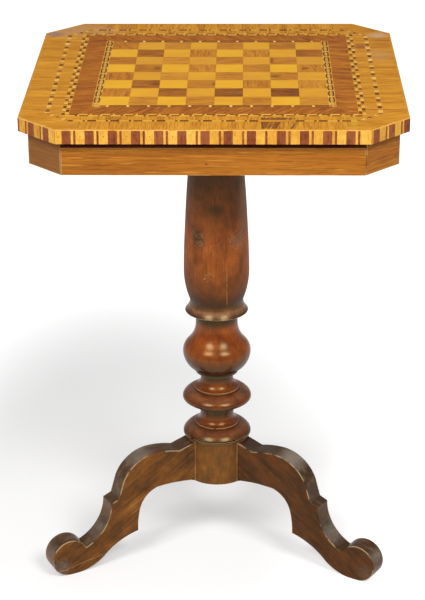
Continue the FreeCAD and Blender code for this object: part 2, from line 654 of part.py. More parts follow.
def makeColumn():
    """Turned column with its tenon, the flats and dovetail sockets for the legs, and the wedge."""
    column = newBody("column")
    profile = outline(sketchOn(column, "columnProfile", "XZ_Plane"), [
        ("0", "hubBottom"), ("hubRadius", "hubBottom"), ("hubRadius", "hubTop"),
        ("rimRadius", "hubTop"), ("rimRadius", "rimTop"), ("ringNeck", "rimTop"),
        ("ringNeck", "ringLow"), ("ringRadius", "ringLow", "ringBulge", RIGHT),
        ("lowLipRadius", "ringTop"), ("lowLipRadius", "lowLipTop", "lowCoveBulge", LEFT),
        ("lowNeckRadius", "lowNeckLow"), ("lowNeckRadius", "lowNeckTop"),
        ("lowFilletRadius", "lowNeckTop"), ("lowFilletRadius", "lowFilletTop"),
        ("torusFoot", "lowFilletTop", "torusLowBulge", RIGHT),
        ("torusRadius", "torusMiddle", "torusHighBulge", RIGHT), ("highLipRadius", "torusTop"),
        ("highLipRadius", "highLipTop", "highCoveBulge", LEFT),
        ("highNeckRadius", "highNeckLow"), ("highNeckRadius", "highNeckTop"),
        ("highFilletRadius", "highNeckTop"),
        ("highFilletRadius", "highFilletTop", "bulbLowBulge", RIGHT),
        ("bulbRadius", "bulbHeight", "bulbHighBulge", RIGHT),
        ("bulbShoulder", "bulbTurn", "throatBulge", LEFT),
        ("throatRadius", "throatLow"), ("throatRadius", "throatTop"),
        ("collarLow", "throatTop", "collarLowBulge", RIGHT),
        ("collarRadius", "collarHeight", "collarHighBulge", LEFT),
        ("collarHigh", "collarTop", "swellBulge", RIGHT),
        ("swellRadius", "swellTop", "shaftBulge", RIGHT),
        ("shaftRadius", "shaftLow", "taperBulge", RIGHT), ("shaftTopRadius", "blockBottom"),
        ("tenonRadius", "blockBottom"), ("tenonRadius", "friezeBottom"), ("0", "friezeBottom")])
    turning = column.newObject("PartDesign::Revolution", "columnTurning")
    turning.Profile = profile
    turning.ReferenceAxis = (profile, ["V_Axis"])
    turning.Angle = 360

    half, beyond = "(legThickness / 2)", "hubRadius + legThickness"
    flat = outline(sketchOn(column, "flatOutline", "XY_Plane", "hubBottom"),
                   rectangle("-" + half, "shoulderReach", half, beyond))
    flatCut = pocket(column, "flatCut", flat, "legTop - hubBottom")
    socket = outline(sketchOn(column, "socketOutline", "XY_Plane", "hubBottom"), [
        ("-keyTip / 2", "keyReach"), ("keyTip / 2", "keyReach"),
        ("keyNeck / 2", "shoulderReach"), ("-keyNeck / 2", "shoulderReach")])
    socketCut = pocket(column, "socketCut", socket, "keyTop - hubBottom")
    legs = column.newObject("PartDesign::PolarPattern", "threeSockets")
    legs.Originals = [flatCut, socketCut]
    axis = [item for item in column.Origin.OriginFeatures if item.Role == "Z_Axis"][0]
    legs.Axis = (axis, [""])
    legs.Angle = 360
    legs.Occurrences = 3
    column.Tip = legs

    wedgeOutline = [("-wedgeTip / 2", "friezeBottom - wedgeLength"),
                    ("wedgeTip / 2", "friezeBottom - wedgeLength"),
                    ("wedgeTop / 2", "friezeBottom"), ("-wedgeTop / 2", "friezeBottom")]
    slot = outline(sketchOn(column, "slotOutline", "XZ_Plane"), wedgeOutline)
    pocket(column, "wedgeSlot", slot, "3 * tenonRadius", both=True)
    node(turnedBase(column, 360), "column")

    wedge = newBody("tenon_wedge")
    shape = outline(sketchOn(wedge, "wedgeOutline", "XZ_Plane"), wedgeOutline)
    pad(wedge, "wedgePad", shape,
        "2 * sqrt(tenonRadius * tenonRadius - wedgeTop * wedgeTop / 4)", both=True)
    node(turnedBase(wedge, 360), "tenon_wedge")


def makeLegs():
    """Three legs sawn from plank: knee, step, ankle and scroll foot, with a dovetail key."""
    for label, degrees in (("leg_back", 90), ("leg_left", 210), ("leg_right", 330)):
        leg = newBody(label)
        side = outline(sketchOn(leg, label + "Outline", "XZ_Plane"), [
            ("shoulderReach", "legTop"), ("notchReach", "notchHeight", "crownBulge", LEFT),
            ("crownReach", "crownHeight", "kneeBulge", LEFT), ("browReach", "browHeight"),
            ("stepInReach", "stepInHeight"), ("stepOutReach", "stepOutHeight", "ankleBulge", RIGHT),
            ("scrollReach - scrollRadius * cos(scrollAngle)",
             "scrollRadius + scrollRadius * sin(scrollAngle)", "scrollBulge", LEFT),
            ("scrollReach + scrollRadius", "scrollRadius", "scrollEndBulge", LEFT),
            ("scrollReach", "0"), ("soleBack", "0", "soleBulge", LEFT),
            ("soleTurnReach", "soleTurnHeight", "archFootBulge", RIGHT),
            ("toeReach", "toeHeight", "archSideBulge", RIGHT),
            ("archSideReach", "archSideHeight", "archTopBulge", RIGHT),
            ("archTopReach", "archTopHeight", "archUnderBulge", RIGHT),
            ("shoulderReach", "legLow")])
        pad(leg, label + "Plank", side, "legThickness", both=True)
        key = outline(sketchOn(leg, label + "KeyOutline", "XY_Plane", "hubBottom"), [
            ("keyReach", "-keyTip / 2"), ("shoulderReach", "-keyNeck / 2"),
            ("shoulderReach", "keyNeck / 2"), ("keyReach", "keyTip / 2")])
        pad(leg, label + "Key", key, "keyTop - hubBottom")
        node(turnedBase(leg, degrees), label)


def drawerSide(name, leftFace):
    """Drawer side whose left face is at this x, with two lapped tails in front."""
    side = newBody(name)
    tip, eighth = "frontBack - tailLength", "drawerSideHeight / 8"
    corners = [("frontBack", "drawerBottom"), ("drawerRear", "drawerBottom"),
               ("drawerRear", "drawerSideTop"), ("frontBack", "drawerSideTop")]
    for high, low in ((7, 5), (3, 1)):
        upper = f"drawerBottom + {high} * {eighth}"
        lower = f"drawerBottom + {low} * {eighth}"
        corners += [("frontBack", upper), (tip, upper + " + tailFlare"),
                    (tip, lower + " - tailFlare"), ("frontBack", lower)]
    shape = outline(sketchOn(side, name + "Outline", "YZ_Plane", leftFace), corners)
    pad(side, name + "Pad", shape, "drawerSideThickness")
    return side


def makeDrawer():
    """Drawer for the chessmen: mitred front, dovetailed sides, housed back and bottom panel."""
    inner = "(drawerHalf - drawerSideThickness)"
    left = drawerSide("drawerSideLeftWhole", "-drawerHalf")
    right = drawerSide("drawerSideRightWhole", inner)
    front = plate("drawerFrontWhole", sideStrip("overhang", "railBack", "drawerEndGap"),
                  "friezeBottom", "drawerFrontTop")
    reach = f"({inner} + drawerGroove)"
    panel = plate("drawer_bottom", rectangle(
        "-" + reach, "frontBack - drawerGroove", reach, "drawerRear"), "panelBottom", "panelTop")
    housed = f"({inner} + housingDepth)"
    back = plate("drawer_back", rectangle(
        "-" + housed, "drawerRear - drawerSideThickness", housed, "drawerRear"),
        "panelTop", "drawerSideTop")
    node(cutFrom("drawer_front", front, [left, right, panel]), "drawer_front")
    node(cutFrom("drawer_side_left", left, [panel, back]), "drawer_side_left")
    node(cutFrom("drawer_side_right", right, [panel, back]), "drawer_side_right")
    node(panel, "drawer_bottom")
    node(back, "drawer_back")


def check():
    """Stop if an object failed, a cut removed nothing or a sub-part isn't sound."""
    for item in doc.Objects:
        if "Invalid" in item.State or "Error" in item.State:
            raise RuntimeError(f"{item.Name} failed: {item.State}")
        if item.isDerivedFrom("PartDesign::Pocket"):
            if item.Shape.Volume > item.BaseFeature.Shape.Volume - 1:
                raise RuntimeError(f"{item.Name} cuts nothing")
    for item in nodes:
        if item.Shape.isNull() or not item.Shape.isValid():
            raise RuntimeError(f"{item.Label} has no sound shape")


makeTop()
makeFrieze()
makeBlock()
makeColumn()
makeLegs()
makeDrawer()
doc.recompute()
check()

os.makedirs("parts", exist_ok=True)
for item in nodes:
    item.Shape.exportStep(f"parts/{item.Label}.step")
    box = item.Shape.BoundBox
    print(f"{item.Label}: {len(item.Shape.Solids)} solid(s), "
          f"{box.XLength:.1f} x {box.YLength:.1f} x {box.ZLength:.1f}")
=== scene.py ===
import math
import random

import bmesh
import bpy
from mathutils import Matrix, Vector


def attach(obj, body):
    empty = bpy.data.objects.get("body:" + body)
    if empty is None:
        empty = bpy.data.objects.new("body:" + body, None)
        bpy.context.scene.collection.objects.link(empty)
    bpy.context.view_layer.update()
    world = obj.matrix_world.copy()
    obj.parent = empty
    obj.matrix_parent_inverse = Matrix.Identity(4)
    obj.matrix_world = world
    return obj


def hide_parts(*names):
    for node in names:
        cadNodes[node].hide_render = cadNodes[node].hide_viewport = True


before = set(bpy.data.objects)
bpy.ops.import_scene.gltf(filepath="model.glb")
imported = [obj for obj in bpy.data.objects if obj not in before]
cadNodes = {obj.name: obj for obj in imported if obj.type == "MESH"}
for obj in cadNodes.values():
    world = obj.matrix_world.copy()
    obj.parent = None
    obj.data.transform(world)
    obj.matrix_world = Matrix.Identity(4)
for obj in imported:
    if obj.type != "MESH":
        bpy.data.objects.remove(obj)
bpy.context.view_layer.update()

mm = 0.001
print("frame loaded:", len(cadNodes), "nodes")


# A colour as read off a swatch, 0 to 255, in Blender's linear values
def paint(red, green, blue):
    return tuple(((c / 255 + 0.055) / 1.055) ** 2.4 for c in (red, green, blue)) + (1.0,)


# One node in a material or geometry tree, with its settings, and its sockets linked or filled
def add(tree, kind, sockets=None, **settings):
    made = tree.nodes.new(kind)
    for name, value in settings.items():
        setattr(made, name, value)
    for name, value in (sockets or {}).items():
        if isinstance(value, bpy.types.NodeSocket):
            tree.links.new(value, made.inputs[name])
        else:
            made.inputs[name].default_value = value
    return made


def sums(tree, operation, first, second=0.0, third=0.0, clamp=False):
    return add(tree, "ShaderNodeMath", {0: first, 1: second, 2: third},
               operation=operation, use_clamp=clamp).outputs[0]


def vectors(tree, operation, first, second):
    return add(tree, "ShaderNodeVectorMath", {0: first, 1: second}, operation=operation).outputs[0]


def blendColours(tree, amount, under, over, way="MIX"):
    return add(tree, "ShaderNodeMix", {0: amount, 6: under, 7: over},
               data_type="RGBA", blend_type=way).outputs[2]


def ramp(tree, value, stops):
    made = add(tree, "ShaderNodeValToRGB", {0: value})
    band = made.color_ramp
    for place, colour in stops[1:-1]:
        band.elements.new(place).color = colour
    band.elements[0].position, band.elements[0].color = stops[0]
    band.elements[-1].position, band.elements[-1].color = stops[-1]
    return made.outputs[0]


# Noise whose features measure size (metres) along, across and through a frame turned by turn (degrees)
def grainNoise(tree, source, size, turn=(0, 0, 0), start=(0, 0, 0), detail=3.0, rough=0.55, warp=0.0):
    angles = [math.radians(angle) for angle in turn]
    turned = add(tree, "ShaderNodeMapping",
                 {"Vector": source, "Location": start, "Rotation": angles, "Scale": size},
                 vector_type="TEXTURE").outputs[0]
    return add(tree, "ShaderNodeTexNoise",
               {"Vector": turned, "Scale": 1.0, "Detail": detail, "Roughness": rough,
                "Distortion": warp}).outputs[0]


# 0 below low and 1 above high, smooth between; with low above high it falls instead of rising
def gate(tree, value, low, high):
    return add(tree, "ShaderNodeMapRange", {"Value": value, "From Min": low, "From Max": high},
               interpolation_type="SMOOTHSTEP").outputs[0]


# How far a place is from a centre, where 1 is the rim of an oval of the given half size
def awayFrom(tree, source, centre, size):
    near = add(tree, "ShaderNodeMapping", {"Vector": source, "Location": centre, "Scale": size},
               vector_type="TEXTURE").outputs[0]
    return add(tree, "ShaderNodeVectorMath", {0: near}, operation="LENGTH").outputs["Value"]


def product(tree, *factors):
    value = factors[0]
    for factor in factors[1:]:
        value = sums(tree, "MULTIPLY", value, factor)
    return value


# A soft spot at a place on the object: 1 in its middle and 0 outside, its rim broken up by noise
def spot(tree, source, centre, size, ragged=0.5, edge=0.4):
    away = awayFrom(tree, source, centre, size)
    broken = grainNoise(tree, source, [0.35 * s for s in size], start=centre, detail=4.0)
    away = sums(tree, "MULTIPLY_ADD", broken, ragged * 2, sums(tree, "SUBTRACT", away, ragged))
    return sums(tree, "SUBTRACT", 1.0, gate(tree, away, 1.0 - edge, 1.0 + edge * 0.3))


# Begins a wood: broad figure, mottle and fine fibre along its grain pick a colour between its tones
def startWood(name, look):
    material = bpy.data.materials.new(name)
    material.use_nodes = True
    tree = material.node_tree
    tree.nodes.clear()
    if look.get("ownPlace"):
        source = add(tree, "ShaderNodeAttribute", attribute_name="place").outputs["Vector"]
    else:
        source = add(tree, "ShaderNodeTexCoord").outputs["Object"]
    turn = look.get("turn", (0, 0, 0))
    figure = grainNoise(tree, source, look["figure"], turn, detail=4.0, warp=look.get("wavy", 0.4))
    fibre = grainNoise(tree, source, look["fibre"], turn, detail=3.0, rough=0.65)
    mottle = grainNoise(tree, source, look["mottle"], turn, detail=2.0)
    shares = look["shares"]      # how much figure, fibre and mottle move the tone
    value = sums(tree, "MULTIPLY_ADD", figure, shares[0], 0.5 - 0.5 * sum(shares))
    value = sums(tree, "MULTIPLY_ADD", fibre, shares[1], value)
    value = sums(tree, "MULTIPLY_ADD", mottle, shares[2], value)
    if look.get("toned"):        # each laid block has a tone of its own
        tone = add(tree, "ShaderNodeAttribute", attribute_name="tone").outputs["Fac"]
        value = sums(tree, "SUBTRACT", value, 0.5 * look["toned"])
        value = sums(tree, "MULTIPLY_ADD", tone, look["toned"], value)
    wood = {"material": material, "tree": tree, "source": source, "look": look,
            "colour": ramp(tree, value, look["tones"])}
    for size, low, strength, tint in look.get("streaks", ()):    # dark or pale dashes along the grain
        dashes = grainNoise(tree, source, size, turn, start=(0.31, 0.17, 0.05), detail=2.0)
        tintWood(wood, gate(tree, dashes, low, low + 0.1), tint, strength)
    smooth, dull = look["gloss"]
    wood["rough"] = sums(tree, "MULTIPLY_ADD", fibre, dull - smooth, smooth)
    wood["height"] = sums(tree, "MULTIPLY_ADD", figure, 0.5, fibre)
    return wood


# Lays a tint over the wood where a mask says so; dull adds to its roughness there
def tintWood(wood, mask, tint, strength=1.0, way="MIX", dull=0.0):
    tree = wood["tree"]
    amount = sums(tree, "MULTIPLY", mask, strength)
    wood["colour"] = blendColours(tree, amount, wood["colour"], tint, way)
    if dull:
        wood["rough"] = sums(tree, "MULTIPLY_ADD", amount, dull, wood["rough"], clamp=True)


# Stains, scuffs and joint lines, each a soft spot on the object: middle, half size, tint, strength
def markWood(wood, marks, source=None, ragged=0.5, edge=0.5):
    for centre, size, tint, strength in marks:
        mask = spot(wood["tree"], source or wood["source"], centre, size, ragged, edge)
        tintWood(wood, mask, tint, strength)


# Scratches inside spots: middle, half size, size and turn of the scratches, how rare they are, tint
def scratchWood(wood, scratches):
    tree, source = wood["tree"], wood["source"]
    for centre, size, grain, turn, low, tint in scratches:
        lines = gate(tree, grainNoise(tree, source, grain, turn, detail=3.0, warp=0.5), low, low + 0.06)
        where = spot(tree, source, centre, size, 0.5, 0.7)
        tintWood(wood, sums(tree, "MULTIPLY", lines, where), tint, 0.85, dull=0.15)


def finishWood(wood):
    tree, look = wood["tree"], wood["look"]
    bump = add(tree, "ShaderNodeBump", {
        "Height": wood["height"], "Distance": look.get("relief", 0.08) * mm,
        "Strength": look.get("bump", 0.5)})
    shader = add(tree, "ShaderNodeBsdfPrincipled", {
        "Base Color": wood["colour"], "Roughness": wood["rough"], "Normal": bump.outputs[0],
        "Specular IOR Level": look.get("sheen", 0.035),
        "Specular Tint": look.get("shine", (1.0, 0.80, 0.46, 1.0))})
    add(tree, "ShaderNodeOutputMaterial", {"Surface": shader.outputs[0]})
    return wood["material"]


# An attribute of a shaped piece marks its arrises; they rub through to paler wood in patches
def wearArrises(wood, tint, strength, patch=0.012, low=0.42, reach=0.55):
    tree = wood["tree"]
    worn = add(tree, "ShaderNodeAttribute", attribute_name="worn").outputs["Fac"]
    broken = grainNoise(tree, wood["source"], (patch, patch, patch), start=(0.2, 0.4, 0.1), detail=4.0)
    rubbed = product(tree, gate(tree, worn, reach, 0.95), gate(tree, broken, low, low + 0.16))
    tintWood(wood, rubbed, tint, strength, dull=0.15)


def dress(material, *names):
    for name in names:
        for holder in cadNodes[name].material_slots:
            holder.material = material


def putOn(piece, material, body, replaced=()):
    if material:
        piece.data.materials.clear()
        piece.data.materials.append(material)
    if replaced:
        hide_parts(*replaced)
    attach(piece, body)
    return piece


def newTree(name, inputs):
    tree = bpy.data.node_groups.new(name, "GeometryNodeTree")
    tree.interface.new_socket("Geometry", in_out="INPUT", socket_type="NodeSocketGeometry")
    for title, kind in inputs.items():
        tree.interface.new_socket(title, in_out="INPUT", socket_type="NodeSocket" + kind)
    tree.interface.new_socket("Geometry", in_out="OUTPUT", socket_type="NodeSocketGeometry")
    return tree, add(tree, "NodeGroupInput").outputs


def endTree(tree, geometry, material):
    solid = add(tree, "GeometryNodeRealizeInstances", {0: geometry}).outputs[0]
    return closeTree(tree, solid, material)


def closeTree(tree, geometry, material):
    made = add(tree, "GeometryNodeSetMaterial", {"Geometry": geometry, "Material": material}).outputs[0]
    add(tree, "NodeGroupOutput", {0: made})
    return tree


# Runs a tree on a seed mesh and keeps the result as a plain mesh at the origin
def growPiece(name, tree, seed, values):
    base = bpy.data.objects.new(name + "Seed", seed)
    bpy.context.scene.collection.objects.link(base)
    modifier = base.modifiers.new("nodes", "NODES")
    modifier.node_group = tree
    for item in tree.interface.items_tree:
        if item.item_type == "SOCKET" and item.in_out == "INPUT" and item.name in values:
            modifier[item.identifier] = values[item.name]
    graph = bpy.context.evaluated_depsgraph_get()
    shape = bpy.data.meshes.new_from_object(base.evaluated_get(graph), preserve_all_data_layers=True,
                                            depsgraph=graph)
    base.modifiers.remove(modifier)
    bpy.data.objects.remove(base)
    shape.name = name
    return linkPiece(name, shape)


def linkPiece(name, mesh):
    piece = bpy.data.objects.new(name, mesh)
    bpy.context.scene.collection.objects.link(piece)
    return piece


# Points that carry a row of numbers each, as the seed of a tree
def pointSeed(name, points, **columns):
    mesh = bpy.data.meshes.new(name)
    mesh.from_pydata(points, [], [])
    for title, values in columns.items():
        mesh.attributes.new(title, "FLOAT", "POINT").data.foreach_set("value", values)
    return mesh


def named(tree, title, kind="FLOAT"):
    made = add(tree, "GeometryNodeInputNamedAttribute", {"Name": title}, data_type=kind)
    return made.outputs[0]


def keep(tree, geometry, title, value, kind="FLOAT"):
    return add(tree, "GeometryNodeStoreNamedAttribute",
               {"Geometry": geometry, "Name": title, "Value": value},
               data_type=kind, domain="POINT").outputs[0]


def randomVector(tree, low, high, seed):
    return add(tree, "FunctionNodeRandomValue", {"Min": low, "Max": high, "Seed": seed},
               data_type="FLOAT_VECTOR").outputs[0]


def vectorOf(tree, x=0.0, y=0.0, z=0.0):
    return add(tree, "ShaderNodeCombineXYZ", {0: x, 1: y, 2: z}).outputs[0]


def partsOf(tree, vector):
    return add(tree, "ShaderNodeSeparateXYZ", {0: vector}).outputs


grainSpan = (5.0, 5.0, 5.0)     # each block lies somewhere of its own in this much of the grain


# Lays one block of veneer on each point: its length, width and height, turned about Z, with a place
# of its own in the grain and a tone of its own
def blockLayer():
    tree, given = newTree("layBlocks", {"Joint": "Float", "Tone Spread": "Float", "Tilt": "Float",
                                        "Seed": "Int", "Material": "Material"})
    length = sums(tree, "SUBTRACT", named(tree, "length"), given["Joint"])
    size = vectorOf(tree, length, named(tree, "width"), named(tree, "height"))
    points = keep(tree, given["Geometry"], "size", size, "FLOAT_VECTOR")
    shift = randomVector(tree, (0.0, 0.0, 0.0), grainSpan, given["Seed"])
    points = keep(tree, points, "shift", shift, "FLOAT_VECTOR")
    low = sums(tree, "MULTIPLY", given["Tone Spread"], -1.0)
    spread = add(tree, "FunctionNodeRandomValue",
                 {2: low, 3: given["Tone Spread"], "Seed": given["Seed"]}, data_type="FLOAT").outputs[1]
    points = keep(tree, points, "tone", sums(tree, "ADD", named(tree, "tone"), spread))
    tilts = randomVector(tree, (-1.0, -1.0, 0.0), (1.0, 1.0, 0.0), given["Seed"])
    tilts = add(tree, "ShaderNodeVectorMath", {0: tilts, "Scale": given["Tilt"]},
                operation="SCALE").outputs[0]
    turn = vectors(tree, "ADD", tilts, vectorOf(tree, z=named(tree, "turn")))
    turn = add(tree, "FunctionNodeEulerToRotation", {0: turn}).outputs[0]
    cube = add(tree, "GeometryNodeMeshCube", {"Size": (1.0, 1.0, 1.0)}).outputs[0]
    corner = add(tree, "GeometryNodeInputPosition").outputs[0]
    cube = keep(tree, cube, "corner", corner, "FLOAT_VECTOR")
    laid = add(tree, "GeometryNodeInstanceOnPoints", {
        "Points": points, "Instance": cube, "Rotation": turn,
        "Scale": named(tree, "size", "FLOAT_VECTOR")}).outputs[0]
    solid = add(tree, "GeometryNodeRealizeInstances", {0: laid}).outputs[0]
    inside = vectors(tree, "MULTIPLY", named(tree, "corner", "FLOAT_VECTOR"),
                     named(tree, "size", "FLOAT_VECTOR"))
    inside = add(tree, "ShaderNodeVectorRotate",
                 {"Vector": inside, "Axis": (0.0, 0.0, 1.0), "Angle": named(tree, "lean")},
                 rotation_type="AXIS_ANGLE").outputs[0]
    place = vectors(tree, "ADD", inside, named(tree, "shift", "FLOAT_VECTOR"))
    solid = keep(tree, solid, "place", place, "FLOAT_VECTOR")
    return closeTree(tree, solid, given["Material"])


layBlocks = blockLayer()


# Blocks as rows of (x, y, z, length, width, height, turn, tone, lean), all in metres and radians
def laidBlocks(name, rows, material, joint, spread=0.15, tilt=0.0, seed=1):
    titles = ("length", "width", "height", "turn", "tone", "lean")
    columns = {title: [row[3 + i] for row in rows] for i, title in enumerate(titles)}
    seedMesh = pointSeed(name + "Points", [row[:3] for row in rows], **columns)
    return growPiece(name, layBlocks, seedMesh, {"Joint": joint, "Tone Spread": spread, "Tilt": tilt,
                                                 "Seed": seed, "Material": material})


# the lens and the film's width are in millimetres, the angles in degrees
viewpoint = {"place": (0.041334, -2.676604, 1.531491), "yaw": -1.014, "down": 23.164, "roll": 0.270,
             "lens": 119.32, "film": 36.0}


def placeCamera():
    yaw, down, roll = (math.radians(viewpoint[key]) for key in ("yaw", "down", "roll"))
    ahead = Vector((math.sin(yaw) * math.cos(down), math.cos(yaw) * math.cos(down), -math.sin(down)))
    across = Vector((math.cos(yaw), -math.sin(yaw), 0.0))
    below = ahead.cross(across)
    right = across * math.cos(roll) + below * math.sin(roll)
    lower = below * math.cos(roll) - across * math.sin(roll)
    data = bpy.data.cameras.new("tableCamera")
    data.sensor_width = viewpoint["film"]
    data.lens = viewpoint["lens"]
    camera = bpy.data.objects.new("tableCamera", data)
    bpy.context.scene.collection.objects.link(camera)
    rows = [(right[i], -lower[i], -ahead[i], viewpoint["place"][i]) for i in range(3)]
    camera.matrix_world = Matrix(rows + [(0.0, 0.0, 0.0, 1.0)])
    bpy.context.scene.camera = camera


studio = {
    # the world's strength on the object, as seen by the camera, and as mirrored
    "world": 0.32, "backdrop": 1.0, "mirroredWorld": 0.36,
    "boxes": [("leftSoftbox", -34.0), ("rightSoftbox", 34.0)],   # degrees round from the front
    "height": 43.2, "distance": 3.1, "size": 1.1, "power": 49.8, "aim": (0.0, 0.0, 0.42),
    "floorTone": 0.68, "floorGlow": 0.36, "farGlow": 0.85, "floorSize": 30.0,
    # the glow is lower in an oval round the feet, so that shadows show, and lowest under the table,
    # where the lower glow is a painted shadow
    "dimMiddle": (-0.15, 0.1, 0.0), "dimSize": (0.35, 0.75, 1.0), "dimEdge": (0.6, 1.5),
    "underMiddle": (-0.01, 0.23, 0.0), "underSize": (0.15, 0.15, 1.0), "underShadow": 0.09,
}


# 1 for rays that come by a mirror or through glass, or else 0
def mirroredRays(tree, rays):
    return sums(tree, "MAXIMUM", rays["Is Glossy Ray"], rays["Is Transmission Ray"])


def lightStudio():
    scene = bpy.context.scene
    scene.view_settings.view_transform = "Standard"
    world = bpy.data.worlds.new("paleRoom")
    world.use_nodes = True
    world.node_tree.nodes.clear()
    tree = world.node_tree
    rays = add(tree, "ShaderNodeLightPath").outputs
    strength = sums(tree, "MULTIPLY_ADD", rays["Is Camera Ray"], studio["backdrop"] - studio["world"],
                    studio["world"])
    strength = sums(tree, "MULTIPLY_ADD", mirroredRays(tree, rays),
                    studio["mirroredWorld"] - studio["world"], strength)
    glow = add(tree, "ShaderNodeBackground", {"Color": (1.0, 1.0, 1.0, 1.0), "Strength": strength})
    add(tree, "ShaderNodeOutputWorld", {"Surface": glow.outputs[0]})
    scene.world = world
    target = Vector(studio["aim"])
    for name, bearing in studio["boxes"]:
        data = bpy.data.lights.new(name, "AREA")
        data.shape = "SQUARE"
        data.size = studio["size"]
        data.energy = studio["power"]
        lamp = bpy.data.objects.new(name, data)
        scene.collection.objects.link(lamp)
        up, turn = math.radians(studio["height"]), math.radians(bearing)
        away = Vector((math.sin(turn) * math.cos(up), -math.cos(turn) * math.cos(up), math.sin(up)))
        lamp.location = target + away * studio["distance"]
        lamp.rotation_euler = (-away).to_track_quat("-Z", "Y").to_euler()


def layFloor():
    half = studio["floorSize"] / 2
    mesh = bpy.data.meshes.new("floor")
    corners = [(-half, -half, 0), (half, -half, 0), (half, half, 0), (-half, half, 0)]
    mesh.from_pydata(corners, [], [(0, 1, 2, 3)])
    floor = linkPiece("floor", mesh)
    material = bpy.data.materials.new("paleFloor")
    material.use_nodes = True
    tree = material.node_tree
    tree.nodes.clear()
    tone = studio["floorTone"]
    matt = add(tree, "ShaderNodeBsdfDiffuse", {"Color": (tone, tone, tone, 1.0)})
    rays = add(tree, "ShaderNodeLightPath").outputs
    spread = add(tree, "ShaderNodeTexCoord").outputs["Object"]
    away = awayFrom(tree, spread, studio["dimMiddle"], studio["dimSize"])
    bright = sums(tree, "MULTIPLY_ADD", gate(tree, away, *studio["dimEdge"]),
                  studio["farGlow"] - studio["floorGlow"], studio["floorGlow"])
    # a painted shadow under the table
    under = awayFrom(tree, spread, studio["underMiddle"], studio["underSize"])
    bright = sums(tree, "MULTIPLY_ADD", gate(tree, under, 1.0, 0.0), -studio["underShadow"], bright)
    strength = sums(tree, "MULTIPLY_ADD", rays["Is Camera Ray"], bright,
                    sums(tree, "MULTIPLY", mirroredRays(tree, rays), studio["floorGlow"]))
    glow = add(tree, "ShaderNodeEmission", {"Strength": strength})
    both = add(tree, "ShaderNodeAddShader", {0: matt.outputs[0], 1: glow.outputs[0]})
    add(tree, "ShaderNodeOutputMaterial", {"Surface": both.outputs[0]})
    mesh.materials.append(material)


placeCamera()
lightStudio()
layFloor()
print("camera, light and floor placed")


board = {
    "square": 38.0, "count": 8, "top": 732.0, "thick": 1.5, "joint": 0.12, "tilt": 0.0009,
    "markDepth": 20.0,
    "lightTones": [(0.0, paint(196, 130, 40)), (0.38, paint(213, 149, 46)), (0.62, paint(229, 168, 40)),
                   (1.0, paint(244, 194, 66))],
    "darkTones": [(0.0, paint(76, 38, 16)), (0.22, paint(138, 76, 26)), (0.5, paint(180, 111, 33)),
                  (0.75, paint(202, 134, 38)), (1.0, paint(214, 150, 46))],
    "darkMiddle": 0.62, "lightTone": (0.47, 0.60),     # the light squares' tone in odd and even files
    # how far the tone and the grain stray from square to square
    "toneChance": 0.08, "leanChance": 0.08,
    # squares whose wood stands out, as (file from the left, rank from the front): tone
    "toneOf": {(1, 0): 0.74, (2, 1): 0.29, (4, 1): 0.24, (6, 1): 0.20, (0, 1): 0.60, (1, 2): 0.34,
               (0, 3): 0.50, (6, 3): 0.56, (7, 6): 0.34, (1, 6): 0.40, (1, 4): 0.54, (0, 5): 0.50,
               (2, 3): 0.82, (2, 5): 0.80, (2, 7): 0.78, (7, 2): 0.74, (7, 4): 0.70, (7, 0): 0.84,
               (5, 6): 0.74, (5, 0): 0.60, (5, 2): 0.60, (4, 3): 0.66},
    # squares whose grain doesn't run along the board: its turn in radians
    "leanOf": {(5, 4): 0.30, (5, 5): -0.35, (4, 5): -0.30, (0, 7): 1.3, (6, 3): 0.5, (0, 3): 1.5,
               (0, 1): 1.6, (7, 4): 1.5, (7, 2): 1.5, (5, 2): 1.6, (3, 4): 1.5, (3, 6): 1.5,
               (5, 6): 1.55},
    # dark knots and streaks: middle and half size in millimetres
    "stains": [((-82, 19), (7, 9)), ((-82, -57), (9, 7)), ((126, 19), (7, 7)), ((79, 57), (3, 15)),
               ((83, -19), (9, 8)), ((-2, -57), (2.5, 8)), ((34, -133), (7, 9))],
    "stainTint": paint(70, 44, 22),
}


# Marks on the plan of the top, each a middle, a half size and more, as marks in space
def onTop(marks):
    return [((*middle, board["top"] * mm), (*size, board["markDepth"] * mm), *rest)
            for middle, size, *rest in marks]


